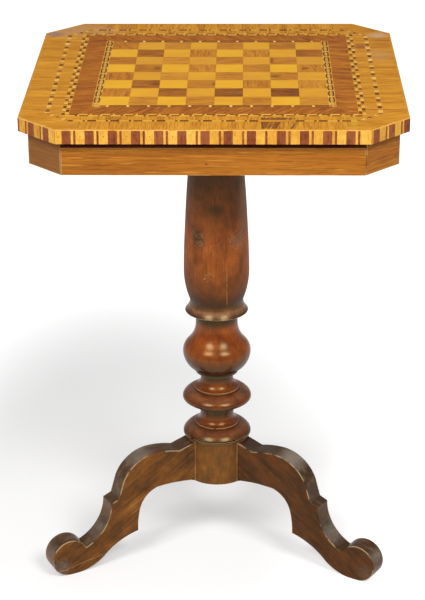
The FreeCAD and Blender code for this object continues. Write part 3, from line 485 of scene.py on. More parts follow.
def layBoard():
    light = finishWood(startWood("satinwoodSquares", {
        "ownPlace": True, "toned": 1.0, "figure": (0.05, 0.006, 0.02), "fibre": (0.02, 0.0011, 0.01),
        "mottle": (0.05, 0.03, 0.03), "shares": (0.22, 0.28, 0.3), "tones": board["lightTones"],
        "gloss": (0.34, 0.5)}))
    dark = startWood("rosewoodSquares", {
        "ownPlace": True, "toned": 1.0, "figure": (0.05, 0.0042, 0.02), "fibre": (0.02, 0.0012, 0.01),
        "wavy": 1.2, "mottle": (0.03, 0.012, 0.03), "shares": (0.75, 0.45, 0.4),
        "tones": board["darkTones"], "gloss": (0.32, 0.5),
        "streaks": [((0.03, 0.0022, 0.01), 0.54, 0.5, paint(120, 66, 28)),
                    ((0.02, 0.0012, 0.01), 0.58, 0.4, paint(222, 160, 58))]})
    onTable = add(dark["tree"], "ShaderNodeTexCoord").outputs["Object"]
    stains = [((x * mm, y * mm), (wide * mm, deep * mm), board["stainTint"], 0.6)
              for (x, y), (wide, deep) in board["stains"]]
    markWood(dark, onTop(stains), onTable, 0.9, 0.9)
    dark = finishWood(dark)
    size, half, joint = board["square"], board["square"] * board["count"] / 2, board["joint"]
    chance = random.Random(7)
    rows = {0: [], 1: []}
    for file in range(board["count"]):
        for rank in range(board["count"]):
            isDark = (file + rank) % 2
            tone = board["lightTone"][(file + 1) % 2]
            if isDark:
                stray = chance.uniform(-board["toneChance"], board["toneChance"])
                tone = board["toneOf"].get((file, rank), board["darkMiddle"] + stray)
            stray = chance.uniform(-board["leanChance"], board["leanChance"])
            lean = board["leanOf"].get((file, rank), stray)
            rows[isDark].append(((-half + size * (file + 0.5)) * mm, (-half + size * (rank + 0.5)) * mm,
                                 (board["top"] - board["thick"] / 2) * mm, size * mm,
                                 (size - joint) * mm, board["thick"] * mm, 0.0, tone, lean))
    putOn(laidBlocks("lightSquares", rows[0], light, joint * mm, 0.08, board["tilt"], 3),
          None, "stand_and_top", ["light_squares"])
    putOn(laidBlocks("darkSquares", rows[1], dark, joint * mm, 0.04, board["tilt"], 5),
          None, "stand_and_top", ["dark_squares"])


layBoard()
print("squares laid")


field = {
    "tones": [(0.0, paint(138, 78, 20)), (0.3, paint(182, 116, 28)), (0.55, paint(208, 142, 38)),
              (0.8, paint(222, 158, 50)), (1.0, paint(240, 186, 80))],
    # joints between the side and corner pieces, stains and worn polish, and at the back right worn
    # polish with a
    # painted reflection, in metres: middle, half size, tint, strength
    "marks": [((-0.226, 0.1745), (0.034, 0.0012), paint(232, 184, 112), 0.7),
              ((-0.226, -0.1725), (0.034, 0.0013), paint(96, 54, 24), 0.75),
              ((0.228, 0.1735), (0.030, 0.0011), paint(110, 64, 30), 0.6),
              ((0.226, -0.1690), (0.034, 0.0013), paint(104, 60, 28), 0.65),
              ((-0.173, -0.227), (0.0010, 0.028), paint(120, 70, 30), 0.5),
              ((0.173, -0.227), (0.0010, 0.028), paint(120, 70, 30), 0.4),
              ((0.208, 0.130), (0.012, 0.017), paint(148, 80, 44), 0.6),
              ((-0.205, 0.215), (0.075, 0.035), paint(178, 140, 116), 0.45),
              ((-0.241, 0.194), (0.015, 0.014), paint(146, 114, 106), 0.8),
              # these two: worn polish with a painted grey reflection on it, at the back right
              ((0.237, 0.190), (0.019, 0.016), paint(196, 172, 150), 0.42),
              ((0.232, 0.085), (0.022, 0.035), paint(180, 150, 122), 0.25),
              ((0.182, -0.226), (0.006, 0.022), paint(196, 164, 52), 0.5)],
    # middle, half size, size and turn of the scratches, how rare they are, tint
    "scratches": [((-0.243, 0.196), (0.014, 0.016), (0.009, 0.0008, 0.01), (0, 0, 50), 0.60,
                   paint(226, 214, 204)),
                  ((0.238, 0.190), (0.018, 0.018), (0.008, 0.0008, 0.01), (0, 0, -40), 0.60,
                   paint(236, 226, 214)),
                  ((-0.128, -0.214), (0.016, 0.014), (0.012, 0.0022, 0.01), (0, 0, 55), 0.52,
                   paint(104, 62, 26))],
    # the let-in repair: its sides, the turn of its stripes and its seam's place in from the left side
    "patch": {"x": (62, 110), "y": (-251, -205), "turn": 78, "tint": paint(106, 54, 27),
              "seamIn": 0.8, "seam": paint(84, 40, 22)},
}


# Field veneer; turn is the way its grain runs, in degrees, and a plain one has little figure
def fieldVeneer(name, turn, plain=False, patched=False):
    width, shares = (0.03, (0.4, 0.4, 0.5)) if plain else (0.011, (0.9, 0.75, 0.6))
    wood = startWood(name, {
        "turn": (0, 0, turn), "figure": (0.16, width, 0.05), "fibre": (0.05, 0.0013, 0.02),
        "mottle": (0.10, 0.035, 0.05), "wavy": 0.5, "shares": shares,
        "tones": field["tones"], "gloss": (0.36, 0.56), "relief": 0.05,
        "streaks": [((0.035, 0.0018, 0.01), 0.55, 0.55, paint(142, 80, 24)),
                    ((0.05, 0.0034, 0.01), 0.58, 0.55, paint(158, 88, 30)),
                    ((0.03, 0.0016, 0.01), 0.60, 0.5, paint(240, 188, 92))]})
    if patched:
        patchRepair(wood)
    markWood(wood, onTop(field["marks"]), None, 0.6, 0.6)
    scratchWood(wood, onTop(field["scratches"]))
    return finishWood(wood)


# A square of darker veneer let in as a repair, its stripes set askew
def patchRepair(wood):
    tree, patch = wood["tree"], field["patch"]
    place = partsOf(tree, wood["source"])
    inside = 1.0
    for axis, (low, high) in enumerate((patch["x"], patch["y"])):
        inside = product(tree, inside, gate(tree, place[axis], (low - 0.5) * mm, (low + 0.5) * mm),
                         gate(tree, place[axis], (high + 0.5) * mm, (high - 0.5) * mm))
    stripes = grainNoise(tree, wood["source"], (0.05, 0.0036, 0.02), (0, 0, patch["turn"]), detail=2.0,
                         warp=0.3)
    stripes = sums(tree, "MULTIPLY_ADD", gate(tree, stripes, 0.44, 0.56), 0.78, 0.12)
    tintWood(wood, sums(tree, "MULTIPLY", inside, stripes), patch["tint"], 0.9)
    seam = sums(tree, "SUBTRACT", place[0], (patch["x"][0] + patch["seamIn"]) * mm)
    seam = gate(tree, sums(tree, "ABSOLUTE", seam), 0.0014, 0.0004)
    tintWood(wood, sums(tree, "MULTIPLY", inside, seam), patch["seam"], 0.85)


banding = {
    "tones": [(0.0, paint(90, 42, 16)), (0.3, paint(140, 74, 22)), (0.52, paint(173, 100, 28)),
              (0.75, paint(192, 120, 38)), (1.0, paint(220, 156, 72))],
}


# Cross-banded walnut border; turn is the way its ribbons run, lively how strong they are
def bandingVeneer(name, turn, lively):
    return finishWood(startWood(name, {
        "turn": (0, 0, turn), "figure": (0.07, 0.0055, 0.03), "fibre": (0.03, 0.0012, 0.02),
        "wavy": 1.1, "mottle": (0.06, 0.03, 0.04), "shares": (lively, 0.5, 0.45),
        "tones": banding["tones"], "gloss": (0.34, 0.52), "relief": 0.05,
        "streaks": [((0.02, 0.0016, 0.01), 0.54, 0.65, paint(104, 50, 18)),
                    ((0.03, 0.002, 0.01), 0.58, 0.6, paint(210, 138, 50))]}))


# the strings' own wood, left and right of the board and before and behind it
ground = {
    "sideTones": [(0.0, paint(172, 118, 42)), (0.5, paint(204, 150, 62)), (1.0, paint(228, 182, 98))],
    "endTones": [(0.0, paint(136, 78, 30)), (0.5, paint(166, 102, 40)), (1.0, paint(196, 128, 52))],
}


def plainString(name, tones, turn=0):
    return finishWood(startWood(name, {
        "turn": (0, 0, turn), "figure": (0.05, 0.006, 0.02), "fibre": (0.02, 0.0014, 0.01),
        "mottle": (0.03, 0.03, 0.03), "shares": (0.5, 0.5, 0.6), "tones": tones, "gloss": (0.36, 0.55),
        "relief": 0.04}))


def dressTop():
    dress(fieldVeneer("fieldVeneerSides", 0), "field_left", "field_right")
    dress(fieldVeneer("fieldVeneerEnds", 90, patched=True), "field_front", "field_back")
    dress(fieldVeneer("fieldVeneerCorners", 8, plain=True), "field_front_left", "field_front_right",
          "field_back_left", "field_back_right")
    dress(bandingVeneer("bandingLeft", 9, 0.85), "walnut_border_left")
    dress(bandingVeneer("bandingRight", -11, 1.5), "walnut_border_right")
    dress(bandingVeneer("bandingFront", 52, 1.1), "walnut_border_front")
    dress(bandingVeneer("bandingBack", 128, 1.0), "walnut_border_back")
    dress(plainString("sideStringGround", ground["sideTones"], 90), "board_side_strings")
    dress(plainString("endStringGround", ground["endTones"]), "board_end_strings")
    dress(plainString("chequerGround", field["tones"], 0), "chequer_string", "outer_string")


dressTop()

# the octagon of the top: from the middle to each long side, and half a long side
octagon = {"half": 256.0, "side": 202.97}

inlay = {
    "top": 732.03, "depth": 0.3, "least": 0.8,     # blocks shorter than this are left out
    "lean": 12,                                    # how far a block's grain strays, in degrees
    "darkTones": [(0.0, paint(84, 44, 14)), (0.5, paint(130, 76, 22)), (1.0, paint(174, 108, 38))],
    "lightTones": [(0.0, paint(206, 146, 40)), (0.5, paint(226, 170, 70)), (1.0, paint(242, 202, 120))],
    "outlineTones": [(0.0, paint(70, 40, 12)), (0.5, paint(106, 66, 18)), (1.0, paint(146, 96, 30))],
}


def inlayWood(name, tones):
    return finishWood(startWood(name, {
        "ownPlace": True, "toned": 0.9, "figure": (0.02, 0.003, 0.01), "fibre": (0.01, 0.0012, 0.01),
        "mottle": (0.012, 0.012, 0.02), "shares": (0.4, 0.3, 0.5), "tones": tones,
        "gloss": (0.36, 0.5), "relief": 0.03}))


darkInlay = inlayWood("darkInlay", inlay["darkTones"])
lightInlay = inlayWood("lightInlay", inlay["lightTones"])


# A word of block letters stretched to fit a length, as (letter, start, end)
def fitted(word, widths, length):
    scale, at = length / sum(widths[letter] for letter in word), 0.0
    for letter in word:
        step = widths[letter] * scale
        yield letter, at, at + step
        at += step


# A word of block letters repeated from low to high, one of its starts at phase, as (letter, start, end)
# measured from low
def repeated(word, widths, low, high, phase):
    period = sum(widths[letter] for letter in word)
    place = phase + period * math.floor((low - phase) / period)
    while place < high:
        for letter in word:
            first, last = max(place, low), min(place + widths[letter], high)
            place += widths[letter]
            if last - first > inlay["least"]:
                yield letter, first - low, last - low


# The steps of a pattern along a line on the top, as rows for laidBlocks, the dark ones under True
def layAlong(start, end, steps, width, tone, rows, chance):
    start, end = Vector(start), Vector(end)
    way = (end - start).normalized()
    turn = math.atan2(way.y, way.x)
    height, lean = (inlay["top"] - inlay["depth"] / 2) * mm, inlay["lean"]
    for letter, first, last in steps:
        middle = start + way * (first + last) / 2
        rows[letter in "Dd"].append((middle.x * mm, middle.y * mm, height, (last - first) * mm,
                                     width * mm, inlay["depth"] * mm, turn, tone,
                                     math.radians(chance.uniform(-lean, lean))))


# The ends of the octagon's eight sides, moved inwards, from the front round by the right
def octagonSides(inward):
    half, side = octagon["half"] - inward, octagon["side"] - inward * math.tan(math.radians(22.5))
    corners = [(-side, -half), (side, -half), (half, -side), (half, side), (side, half), (-side, half),
               (-half, side), (-half, -side)]
    return [(corners[i], corners[(i + 1) % 8]) for i in range(8)]


strings = {
    "word": "DLdl", "widths": {"D": 11.5, "L": 12.5, "d": 3.0, "l": 3.0}, "inset": 37.25, "width": 5.6,
    # along the front, right, back and left: where a long dark block starts, and the blocks' tone
    "outer": [(-43.5, 0.22), (13.75, 0.55), (-43.5, 0.2), (-10.25, 0.55)], "plainTone": 0.4,
    "cornerWord": "dldLdlDldLdld", "cornerWidths": {"D": 7.0, "L": 9.5, "d": 2.6, "l": 2.4},
    # the two rows of the chequer: distance from the middle, where a long dark block starts
    "chequer": [(197.3, 4.5), (192.2, -9.0)], "chequerWidth": 4.3, "chequerShort": 3.0,
}


def layStrings():
    chance = random.Random(11)
    rows = {True: [], False: []}
    patchLow, patchHigh = field["patch"]["x"]
    for number, (start, end) in enumerate(octagonSides(strings["inset"])):
        length, tone = math.dist(start, end), strings["plainTone"]
        if number % 2:
            steps = fitted(strings["cornerWord"], strings["cornerWidths"], length)
        else:
            phase, tone = strings["outer"][number // 2]
            steps = repeated(strings["word"], strings["widths"], -length / 2, length / 2, phase)
        if number == 0:     # the repair has taken the string's place
            steps = [step for step in steps
                     if not patchLow < (step[1] + step[2] - length) / 2 < patchHigh]
        layAlong(start, end, steps, strings["width"], tone, rows, chance)
    for far, phase in strings["chequer"]:
        near = far - strings["chequerShort"]
        for start, end in (((-near, -far), (near, -far)), ((far, -near), (far, near)),
                           ((near, far), (-near, far)), ((-far, near), (-far, -near))):
            steps = repeated(strings["word"], strings["widths"], -near, near, phase)
            layAlong(start, end, steps, strings["chequerWidth"], strings["plainTone"], rows, chance)
    putOn(laidBlocks("stringDarkBlocks", rows[True], darkInlay, 0.1 * mm, 0.3, 0.0, 21),
          None, "stand_and_top")
    putOn(laidBlocks("stringLightBlocks", rows[False], lightInlay, 0.1 * mm, 0.2, 0.0, 22),
          None, "stand_and_top")


layStrings()

chain = {
    "link": 25.5, "width": 6.6, "line": 2.1, "linkDepth": 0.1, "linkHeight": 732.02, "overrun": 6.0,
    "pitch": 27.3, "bar": 3.4, "barWidth": 6.6, "barHeight": 731.91,
    # each string: the x or y of its line, and where along it one of its bars lies
    "lines": [((-156.9, None), -6.8), ((156.9, None), -5.0),
              ((None, -156.0), -5.0), ((None, 156.0), 2.0)],
    "reach": 152.0,
    # thin pale lines on both sides of the left and right strings
    "paleLines": (-161.4, -152.9, 152.9, 161.4), "paleLong": 314.0, "paleWidth": 1.1,
}


# A pair of bowed lines let into the string on each point of the seed, along its own turn
def chainTree():
    tree, given = newTree("chainLinks", {"Link": "Float", "Width": "Float", "Line": "Float",
                                         "Depth": "Float", "Material": "Material"})
    bow = add(tree, "GeometryNodeCurveArc", {
        "Resolution": 14, "Radius": 0.5, "Start Angle": math.radians(28),
        "Sweep Angle": math.radians(124)}).outputs[0]
    shape = vectorOf(tree, given["Link"], given["Width"], 1.0)
    bow = add(tree, "GeometryNodeTransform", {"Geometry": bow, "Scale": shape}).outputs[0]
    section = add(tree, "GeometryNodeCurvePrimitiveQuadrilateral",
                  {"Width": given["Line"], "Height": given["Line"]}).outputs[0]
    bow = add(tree, "GeometryNodeCurveToMesh",
              {"Curve": bow, "Profile Curve": section, "Fill Caps": True}).outputs[0]
    other = add(tree, "GeometryNodeTransform",
                {"Geometry": bow, "Rotation": (0.0, 0.0, math.pi)}).outputs[0]
    link = add(tree, "GeometryNodeJoinGeometry", {0: bow}).outputs[0]
    tree.links.new(other, link.node.inputs[0])
    flat = vectorOf(tree, 1.0, 1.0, sums(tree, "DIVIDE", given["Depth"], given["Line"]))
    link = add(tree, "GeometryNodeTransform", {"Geometry": link, "Scale": flat}).outputs[0]
    turn = vectorOf(tree, z=named(tree, "turn"))
    turn = add(tree, "FunctionNodeEulerToRotation", {0: turn}).outputs[0]
    laid = add(tree, "GeometryNodeInstanceOnPoints", {"Points": given["Geometry"], "Instance": link,
                                                      "Rotation": turn}).outputs[0]
    return endTree(tree, laid, given["Material"])


def layChains():
    points, turns, bars = [], [], []
    reach, pitch = chain["reach"], chain["pitch"]
    linkHeight, barHeight = chain["linkHeight"] * mm, chain["barHeight"] * mm
    depth = inlay["depth"] * mm
    for (x, y), phase in chain["lines"]:
        atSide = y is None
        turn, tone = (math.pi / 2, 0.55) if atSide else (0.0, 0.75)
        place = phase - pitch * (1 + math.floor((phase + reach) / pitch))
        while place < reach:
            middle = place + pitch / 2
            if abs(middle) + chain["link"] / 2 < reach + chain["overrun"]:
                plan = (x, middle) if atSide else (middle, y)
                points.append((plan[0] * mm, plan[1] * mm, linkHeight))
                turns.append(turn)
            if place > -reach:
                plan = (x, place) if atSide else (place, y)
                bars.append((plan[0] * mm, plan[1] * mm, barHeight, chain["bar"] * mm,
                             chain["barWidth"] * mm, depth, turn, tone, 0.0))
            place += pitch
    for x in chain["paleLines"]:
        bars.append((x * mm, 0.0, barHeight, chain["paleLong"] * mm, chain["paleWidth"] * mm, depth,
                     math.pi / 2, 0.45, 0.0))
    outline = plainString("linkOutline", inlay["outlineTones"], 90)
    links = growPiece("chainLinks", chainTree(), pointSeed("linkPlaces", points, turn=turns), {
        "Link": chain["link"] * mm, "Width": chain["width"] * mm, "Line": chain["line"] * mm,
        "Depth": chain["linkDepth"] * mm, "Material": outline})
    putOn(links, None, "stand_and_top")
    putOn(laidBlocks("chainBars", bars, lightInlay, 0.0, 0.2, 0.0, 23),
          None, "stand_and_top")


layChains()
print("top dressed, strings and chains laid")


edge = {
    "bottom": 712.5, "top": 730.6, "proud": 0.04, "depth": 0.5,
    # stopped worm holes on the pale blocks of this part of the front: along X, and up to this Y
    "pinsAlong": (-210.0, -30.0), "pinsFront": -200.0, "pin": (1.1, 0.08, 1.3),
    "widths": {"D": 11.4, "L": 12.0, "l": 3.5, "d": 2.6, "W": 9.0, "V": 14.5, "h": 3.4},
    "frontWord": "W" + "DldL" * 5 + "D" + "LdlD" * 3 + "Ld" + "LDld" * 4 + "V",
    "leftCornerWord": "hLdlDLdlDL", "rightCornerWord": "lDLdlDLdlD",
    "sideWord": "LDld" * 13 + "LD", "backCornerWord": "LDldLDldL",
    "darkTones": [(0.0, paint(92, 38, 24)), (0.45, paint(142, 74, 42)), (0.75, paint(164, 94, 54)),
                  (1.0, paint(196, 130, 80))],
    "lightTones": [(0.0, paint(196, 124, 44)), (0.4, paint(226, 163, 60)), (0.7, paint(238, 183, 78)),
                   (1.0, paint(248, 208, 118))],
    "rubbedHighlightTint": paint(240, 198, 124),
}


def layEdge():
    common = {"ownPlace": True, "figure": (0.0045, 0.02, 0.05), "fibre": (0.0012, 0.01, 0.02),
              "mottle": (0.006, 0.01, 0.008), "sheen": 0.2, "gloss": (0.36, 0.54), "relief": 0.05}
    dark = finishWood(startWood("edgeDarkStripe", {
        **common, "toned": 0.5, "shares": (0.6, 0.5, 0.7), "tones": edge["darkTones"],
        "streaks": [((0.0013, 0.01, 0.012), 0.57, 0.6, paint(84, 36, 22)),
                    ((0.0018, 0.01, 0.006), 0.62, 0.4, paint(206, 148, 96))]}))
    light = finishWood(startWood("edgeLightStripe", {
        **common, "toned": 0.6, "shares": (0.4, 0.4, 0.8), "tones": edge["lightTones"],
        "streaks": [((0.0012, 0.01, 0.009), 0.57, 0.45, paint(190, 120, 44)),
                    ((0.004, 0.01, 0.005), 0.55, 0.4, paint(206, 156, 46))]}))
    rows = {True: [], False: []}
    pins = []
    chance = random.Random(5)
    words = [edge["frontWord"], edge["rightCornerWord"], edge["sideWord"], edge["backCornerWord"],
             edge["sideWord"], edge["backCornerWord"], edge["sideWord"], edge["leftCornerWord"]]
    depth, height = edge["depth"], edge["top"] - edge["bottom"]
    pinLong, pinDeep, pinHigh = (size * mm for size in edge["pin"])
    pinsFrom, pinsTo = edge["pinsAlong"]
    for (start, end), word in zip(octagonSides(depth / 2 - edge["proud"]), words):
        start, end = Vector(start), Vector(end)
        way = (end - start).normalized()
        turn = math.atan2(way.y, way.x)
        for letter, first, last in fitted(word, edge["widths"], (end - start).length):
            middle = start + way * (first + last) / 2
            rows[letter in "Ddh"].append((middle.x * mm, middle.y * mm,
                                          (edge["bottom"] + height / 2) * mm, (last - first) * mm,
                                          depth * mm, height * mm, turn, 0.5, 0.0))
            if letter in "LWV" and middle.y < edge["pinsFront"] and pinsFrom < middle.x < pinsTo:
                pins.append((middle.x * mm, (middle.y - depth / 2 - 0.01) * mm,
                             (edge["bottom"] + height * (0.5 + chance.uniform(-0.1, 0.1))) * mm,
                             pinLong, pinDeep, pinHigh, turn, 0.3, 0.0))
    putOn(laidBlocks("edgeDarkBlocks", rows[True], dark, 0.3 * mm, 0.3, 0.0, 31),
          None, "stand_and_top")
    putOn(laidBlocks("edgeLightBlocks", rows[False], light, 0.3 * mm, 0.35, 0.0, 32),
          None, "stand_and_top")
    putOn(laidBlocks("edgePins", pins, darkInlay, 0.0, 0.2, 0.0, 33),
          None, "stand_and_top")
    dress(plainString("edgeGround", edge["darkTones"]), "edge_band_front", "edge_band_back",
          "edge_band_left", "edge_band_right", "edge_band_corners")
    dress(arrisFinish(), "arris_string")


# The string along the top's arris: toned like the field, pale on the very edge, partly worn and partly a
# painted highlight on its rounding
def arrisFinish():
    wood = startWood("arrisString", {
        "figure": (0.006, 0.006, 0.02), "fibre": (0.0016, 0.0016, 0.01), "mottle": (0.03, 0.03, 0.03),
        "shares": (0.6, 0.5, 0.5), "tones": field["tones"], "gloss": (0.34, 0.52), "relief": 0.04})
    tree = wood["tree"]
    half, side = octagon["half"], octagon["side"]
    place = partsOf(tree, wood["source"])
    wide, deep = (sums(tree, "ABSOLUTE", place[axis]) for axis in (0, 1))
    slant = sums(tree, "MULTIPLY_ADD", sums(tree, "ADD", wide, deep), math.sqrt(0.5),
                 (half - (half + side) * math.sqrt(0.5)) * mm)
    square = sums(tree, "MAXIMUM", wide, deep)
    inner = sums(tree, "MAXIMUM", slant, square)
    rubbed = gate(tree, inner, (half - 0.9) * mm, (half - 0.3) * mm)
    broken = gate(tree, grainNoise(tree, wood["source"], (0.012, 0.012, 0.02), detail=4.0), 0.3, 0.55)
    cornered = gate(tree, sums(tree, "SUBTRACT", slant, square), -0.002, 0.002)
    amount = sums(tree, "MULTIPLY", rubbed, sums(tree, "MAXIMUM", broken, cornered))
    # the pale edge: wear and a painted highlight
    tintWood(wood, amount, edge["rubbedHighlightTint"], 0.5)
    return finishWood(wood)


layEdge()
print("striped edge laid")


frieze = {
    "ease": 0.7,
    "tones": [(0.0, paint(96, 52, 18)), (0.3, paint(146, 84, 26)), (0.55, paint(178, 108, 34)),
              (0.8, paint(196, 128, 42)), (1.0, paint(216, 152, 68))],
    "wornTint": paint(222, 176, 116),
    "knots": [((-0.009, -0.244, 0.6815), (0.0028, 0.02, 0.0014), paint(84, 46, 24), 0.85)],
    # the left chamfer is darker and duller; between these places along X it changes over
    "bare": {"turn": -45, "x": (-0.10, -0.12), "tint": paint(124, 84, 50), "strength": 0.6},
    # the way each panel's grain runs, in degrees
    "turns": {"frieze_back": 0, "frieze_left": 90, "frieze_right": 90, "drawer_front": 0,
              "frieze_corner_front_left": -45, "frieze_corner_front_right": 45,
              "frieze_corner_back_left": 45, "frieze_corner_back_right": -45},
}


# angles in degrees: flats bent less than the first are one flat, corners bent more than the others are
# eased and shaded as corners; a flat keeps an unworn middle where its sides are over 2.5 insets long
easing = {"flat": 0.4, "corner": 35, "shaded": 32, "inset": 2.0, "roomy": 2.5}


# A copy of a CAD node with its doubles merged, its flats made whole and its arrises eased by ease
# millimetres; an attribute marks the arrises
def softened(node, name, ease):
    work = bmesh.new()
    work.from_mesh(cadNodes[node].data)
    bmesh.ops.remove_doubles(work, verts=work.verts, dist=1e-6)
    bmesh.ops.dissolve_limit(work, angle_limit=math.radians(easing["flat"]), verts=work.verts,
                             edges=work.edges)
    corner, inset = math.radians(easing["corner"]), easing["inset"] * mm
    sharp = [e for e in work.edges if len(e.link_faces) == 2 and e.calc_face_angle(0.0) > corner]
    bmesh.ops.bevel(work, geom=sharp, offset=ease * mm, segments=2, profile=0.6, affect="EDGES",
                    clamp_overlap=True)
    work.faces.ensure_lookup_table()
    wornLayer = work.verts.layers.float.new("worn")
    for vert in work.verts:
        vert[wornLayer] = 1.0
    flats = [f for f in work.faces if min(e.calc_length() for e in f.edges) > easing["roomy"] * inset]
    if flats:
        bmesh.ops.inset_individual(work, faces=flats, thickness=inset, use_even_offset=True)
        for face in flats:
            for vert in face.verts:
                vert[wornLayer] = 0.0
    mesh = bpy.data.meshes.new(name)
    work.to_mesh(mesh)
    work.free()
    mesh.shade_smooth()
    mesh.set_sharp_from_angle(angle=math.radians(easing["shaded"]))
    return linkPiece(name, mesh)


def friezeVeneer(name, turn):
    wood = startWood(name, {
        "turn": (0, 0, turn), "figure": (0.22, 0.05, 0.0065), "fibre": (0.06, 0.02, 0.0013),
        "wavy": 0.35, "mottle": (0.16, 0.05, 0.03), "shares": (0.7, 0.5, 0.45),
        "tones": frieze["tones"], "gloss": (0.34, 0.52), "sheen": 0.22, "relief": 0.06,
        "streaks": [((0.03, 0.01, 0.0015), 0.54, 0.5, paint(118, 64, 20)),
                    ((0.06, 0.01, 0.003), 0.58, 0.5, paint(132, 72, 24)),
                    ((0.05, 0.01, 0.0022), 0.60, 0.45, paint(220, 160, 72))]})
    markWood(wood, frieze["knots"], None, 0.4, 0.8)
    bare = frieze["bare"]
    if turn == bare["turn"]:
        across = partsOf(wood["tree"], wood["source"])[0]
        tintWood(wood, gate(wood["tree"], across, *bare["x"]), bare["tint"], bare["strength"], dull=0.1)
    wearArrises(wood, frieze["wornTint"], 0.6, 0.03, 0.36, 0.45)
    return finishWood(wood)


def dressFrieze():
    made = {}
    for node, turn in frieze["turns"].items():
        if turn not in made:
            made[turn] = friezeVeneer("friezeVeneer" + str(turn).replace("-", "Minus"), turn)
        body = "drawer" if node == "drawer_front" else "stand_and_top"
        words = node.split("_")
        name = words[0] + "".join(word.capitalize() for word in words[1:]) + "Panel"
        putOn(softened(node, name, frieze["ease"]), made[turn], body, [node])


dressFrieze()

carcase = {
    "tones": [(0.0, paint(110, 74, 40)), (0.35, paint(150, 108, 62)), (0.7, paint(182, 142, 90)),
              (1.0, paint(206, 170, 118))],
    "grime": paint(84, 58, 36),
}


# Unpolished inside wood, browned by age, duller and dirtier in patches
def insideWood(name, turn, width=0.012):
    wood = startWood(name, {
        "turn": turn, "figure": (0.3, width, width), "fibre": (0.06, 0.0016, 0.0016),
        "mottle": (0.1, 0.06, 0.06), "wavy": 0.5, "shares": (0.8, 0.5, 0.7), "tones": carcase["tones"],
        "gloss": (0.62, 0.85), "sheen": 0.2, "relief": 0.12, "bump": 0.8})
    tree = wood["tree"]
    grime = gate(tree, grainNoise(tree, wood["source"], (0.06, 0.06, 0.06), detail=5.0), 0.52, 0.72)
    tintWood(wood, grime, carcase["grime"], 0.5)
    return finishWood(wood)


insideX = insideWood("insideWoodLengthways", (0, 0, 0))
insideY = insideWood("insideWoodCrossways", (0, 0, 90))
dress(insideX, "ground_board", "bottom_board", "drawer_back", "drawer_stops")
dress(insideY, "drawer_guide_left", "drawer_guide_right", "drawer_side_left", "drawer_side_right",
      "drawer_bottom", "glue_blocks")
print("frieze, drawer and inside dressed")


column = {
    # sizes in millimetres; corners bent less than sharp, in degrees, are smoothed away, the others eased
    "segments": 96, "step": 1.6, "ease": 0.45, "crease": 2.4, "smooth": 8, "sharp": 33,
    # radius, height, bow of the line to the next point: above 0 swells, below 0 is hollow
    "profile": [(0, 105.5, 0), (47.5, 105.5, 0), (47.5, 173, 0), (50.4, 173, 0), (50.4, 176.4, 0),
                (48.6, 176.4, 0), (48.6, 178, 0), (50, 178, 2.7), (33.2, 188.75, 0), (33.2, 192, -3.3),
                (24.8, 206, 0), (24.8, 214, 0), (28.5, 214, 0), (28.5, 226, 0), (45.2, 226, 2.1),
                (51.9, 234, 3.1), (33.4, 245.5, 0), (33.4, 249.4, -3.7), (24, 266, 0), (24, 274, 0),
                (31.9, 274, 0), (31.9, 277.6, 4.85), (50.2, 307.1, 2.15), (42.1, 323.6, -2.5),
                (30.5, 350.7, 0), (30.5, 368, 0), (38, 368, 0.7), (46.3, 372.6, -1.4),
                (38.3, 388.8, 2.4), (47.8, 435.4, 0.42), (45.4, 505.4, 0.97), (35.6, 638, 0),
                (18, 638, 0), (18, 666, 0), (0, 666, 0)],
}


# Points from start to just before end, on an arc that bows to the right of the way for bow above 0
def bowed(start, end, bow, step):
    start, end = Vector(start[:2]), Vector(end[:2])
    chord = end - start
    length = chord.length
    side = Vector((chord.y, -chord.x)) / length
    if abs(bow) < 1e-6:
        count = max(1, round(length / (8 * step)))
        return [start + chord * (i / count) for i in range(count)]
    radius = (length * length / 4 + bow * bow) / (2 * abs(bow))
    sweep = 2 * math.asin(min(1.0, length / 2 / radius))
    middle = start + chord / 2 - side * math.copysign(radius - abs(bow), bow)
    count = max(3, round(radius * sweep / step))
    points = []
    for i in range(count):
        angle = -sweep / 2 + sweep * i / count
        spoke = side * math.copysign(math.cos(angle), bow) + chord / length * math.sin(angle)
        points.append(middle + spoke * radius)
    return points


# The profile as points, its sharp corners eased and its faint ones smoothed away; an attribute is 1 on
# arrises, which wear pale, and -1 in creases, which get painted shade
def turnedProfile():
    corners = column["profile"]
    points, marks = [], []
    for i in range(len(corners) - 1):
        run = bowed(corners[i], corners[i + 1], corners[i][2], column["step"])
        points += run
        marks += [1] + [0] * (len(run) - 1)
    points.append(Vector(corners[-1][:2]))
    marks.append(0)
    last, limit = len(points) - 1, math.radians(column["sharp"])
    sharp = [i in (0, last)
             or marks[i] and (points[i] - points[i - 1]).angle(points[i + 1] - points[i]) > limit
             for i in range(last + 1)]
    for _ in range(column["smooth"]):
        points = [point if sharp[i] else (points[i - 1] + point * 2 + points[i + 1]) / 4
                  for i, point in enumerate(points)]
    eased, worn = [], []
    for i, point in enumerate(points):
        if not sharp[i] or i in (0, last):
            eased.append(point)
            worn.append(0.0)
            continue
        before, after = point - points[i - 1], points[i + 1] - point
        mark = math.copysign(1.0, before.x * after.y - before.y * after.x)
        cut = min(column["ease"], before.length * 0.4, after.length * 0.4)
        reach = column["crease"] if mark < 0 else 3 * column["ease"]
        wide = [min(reach, way.length * 0.8) for way in (before, after)]
        start, end = point - before.normalized() * cut, point + after.normalized() * cut
        eased += [point - before.normalized() * wide[0], start, (start + end + point * 2) / 4, end,
                  point + after.normalized() * wide[1]]
        worn += [0.0, 0.8 * mark, mark, 0.8 * mark, 0.0]
    return eased, worn


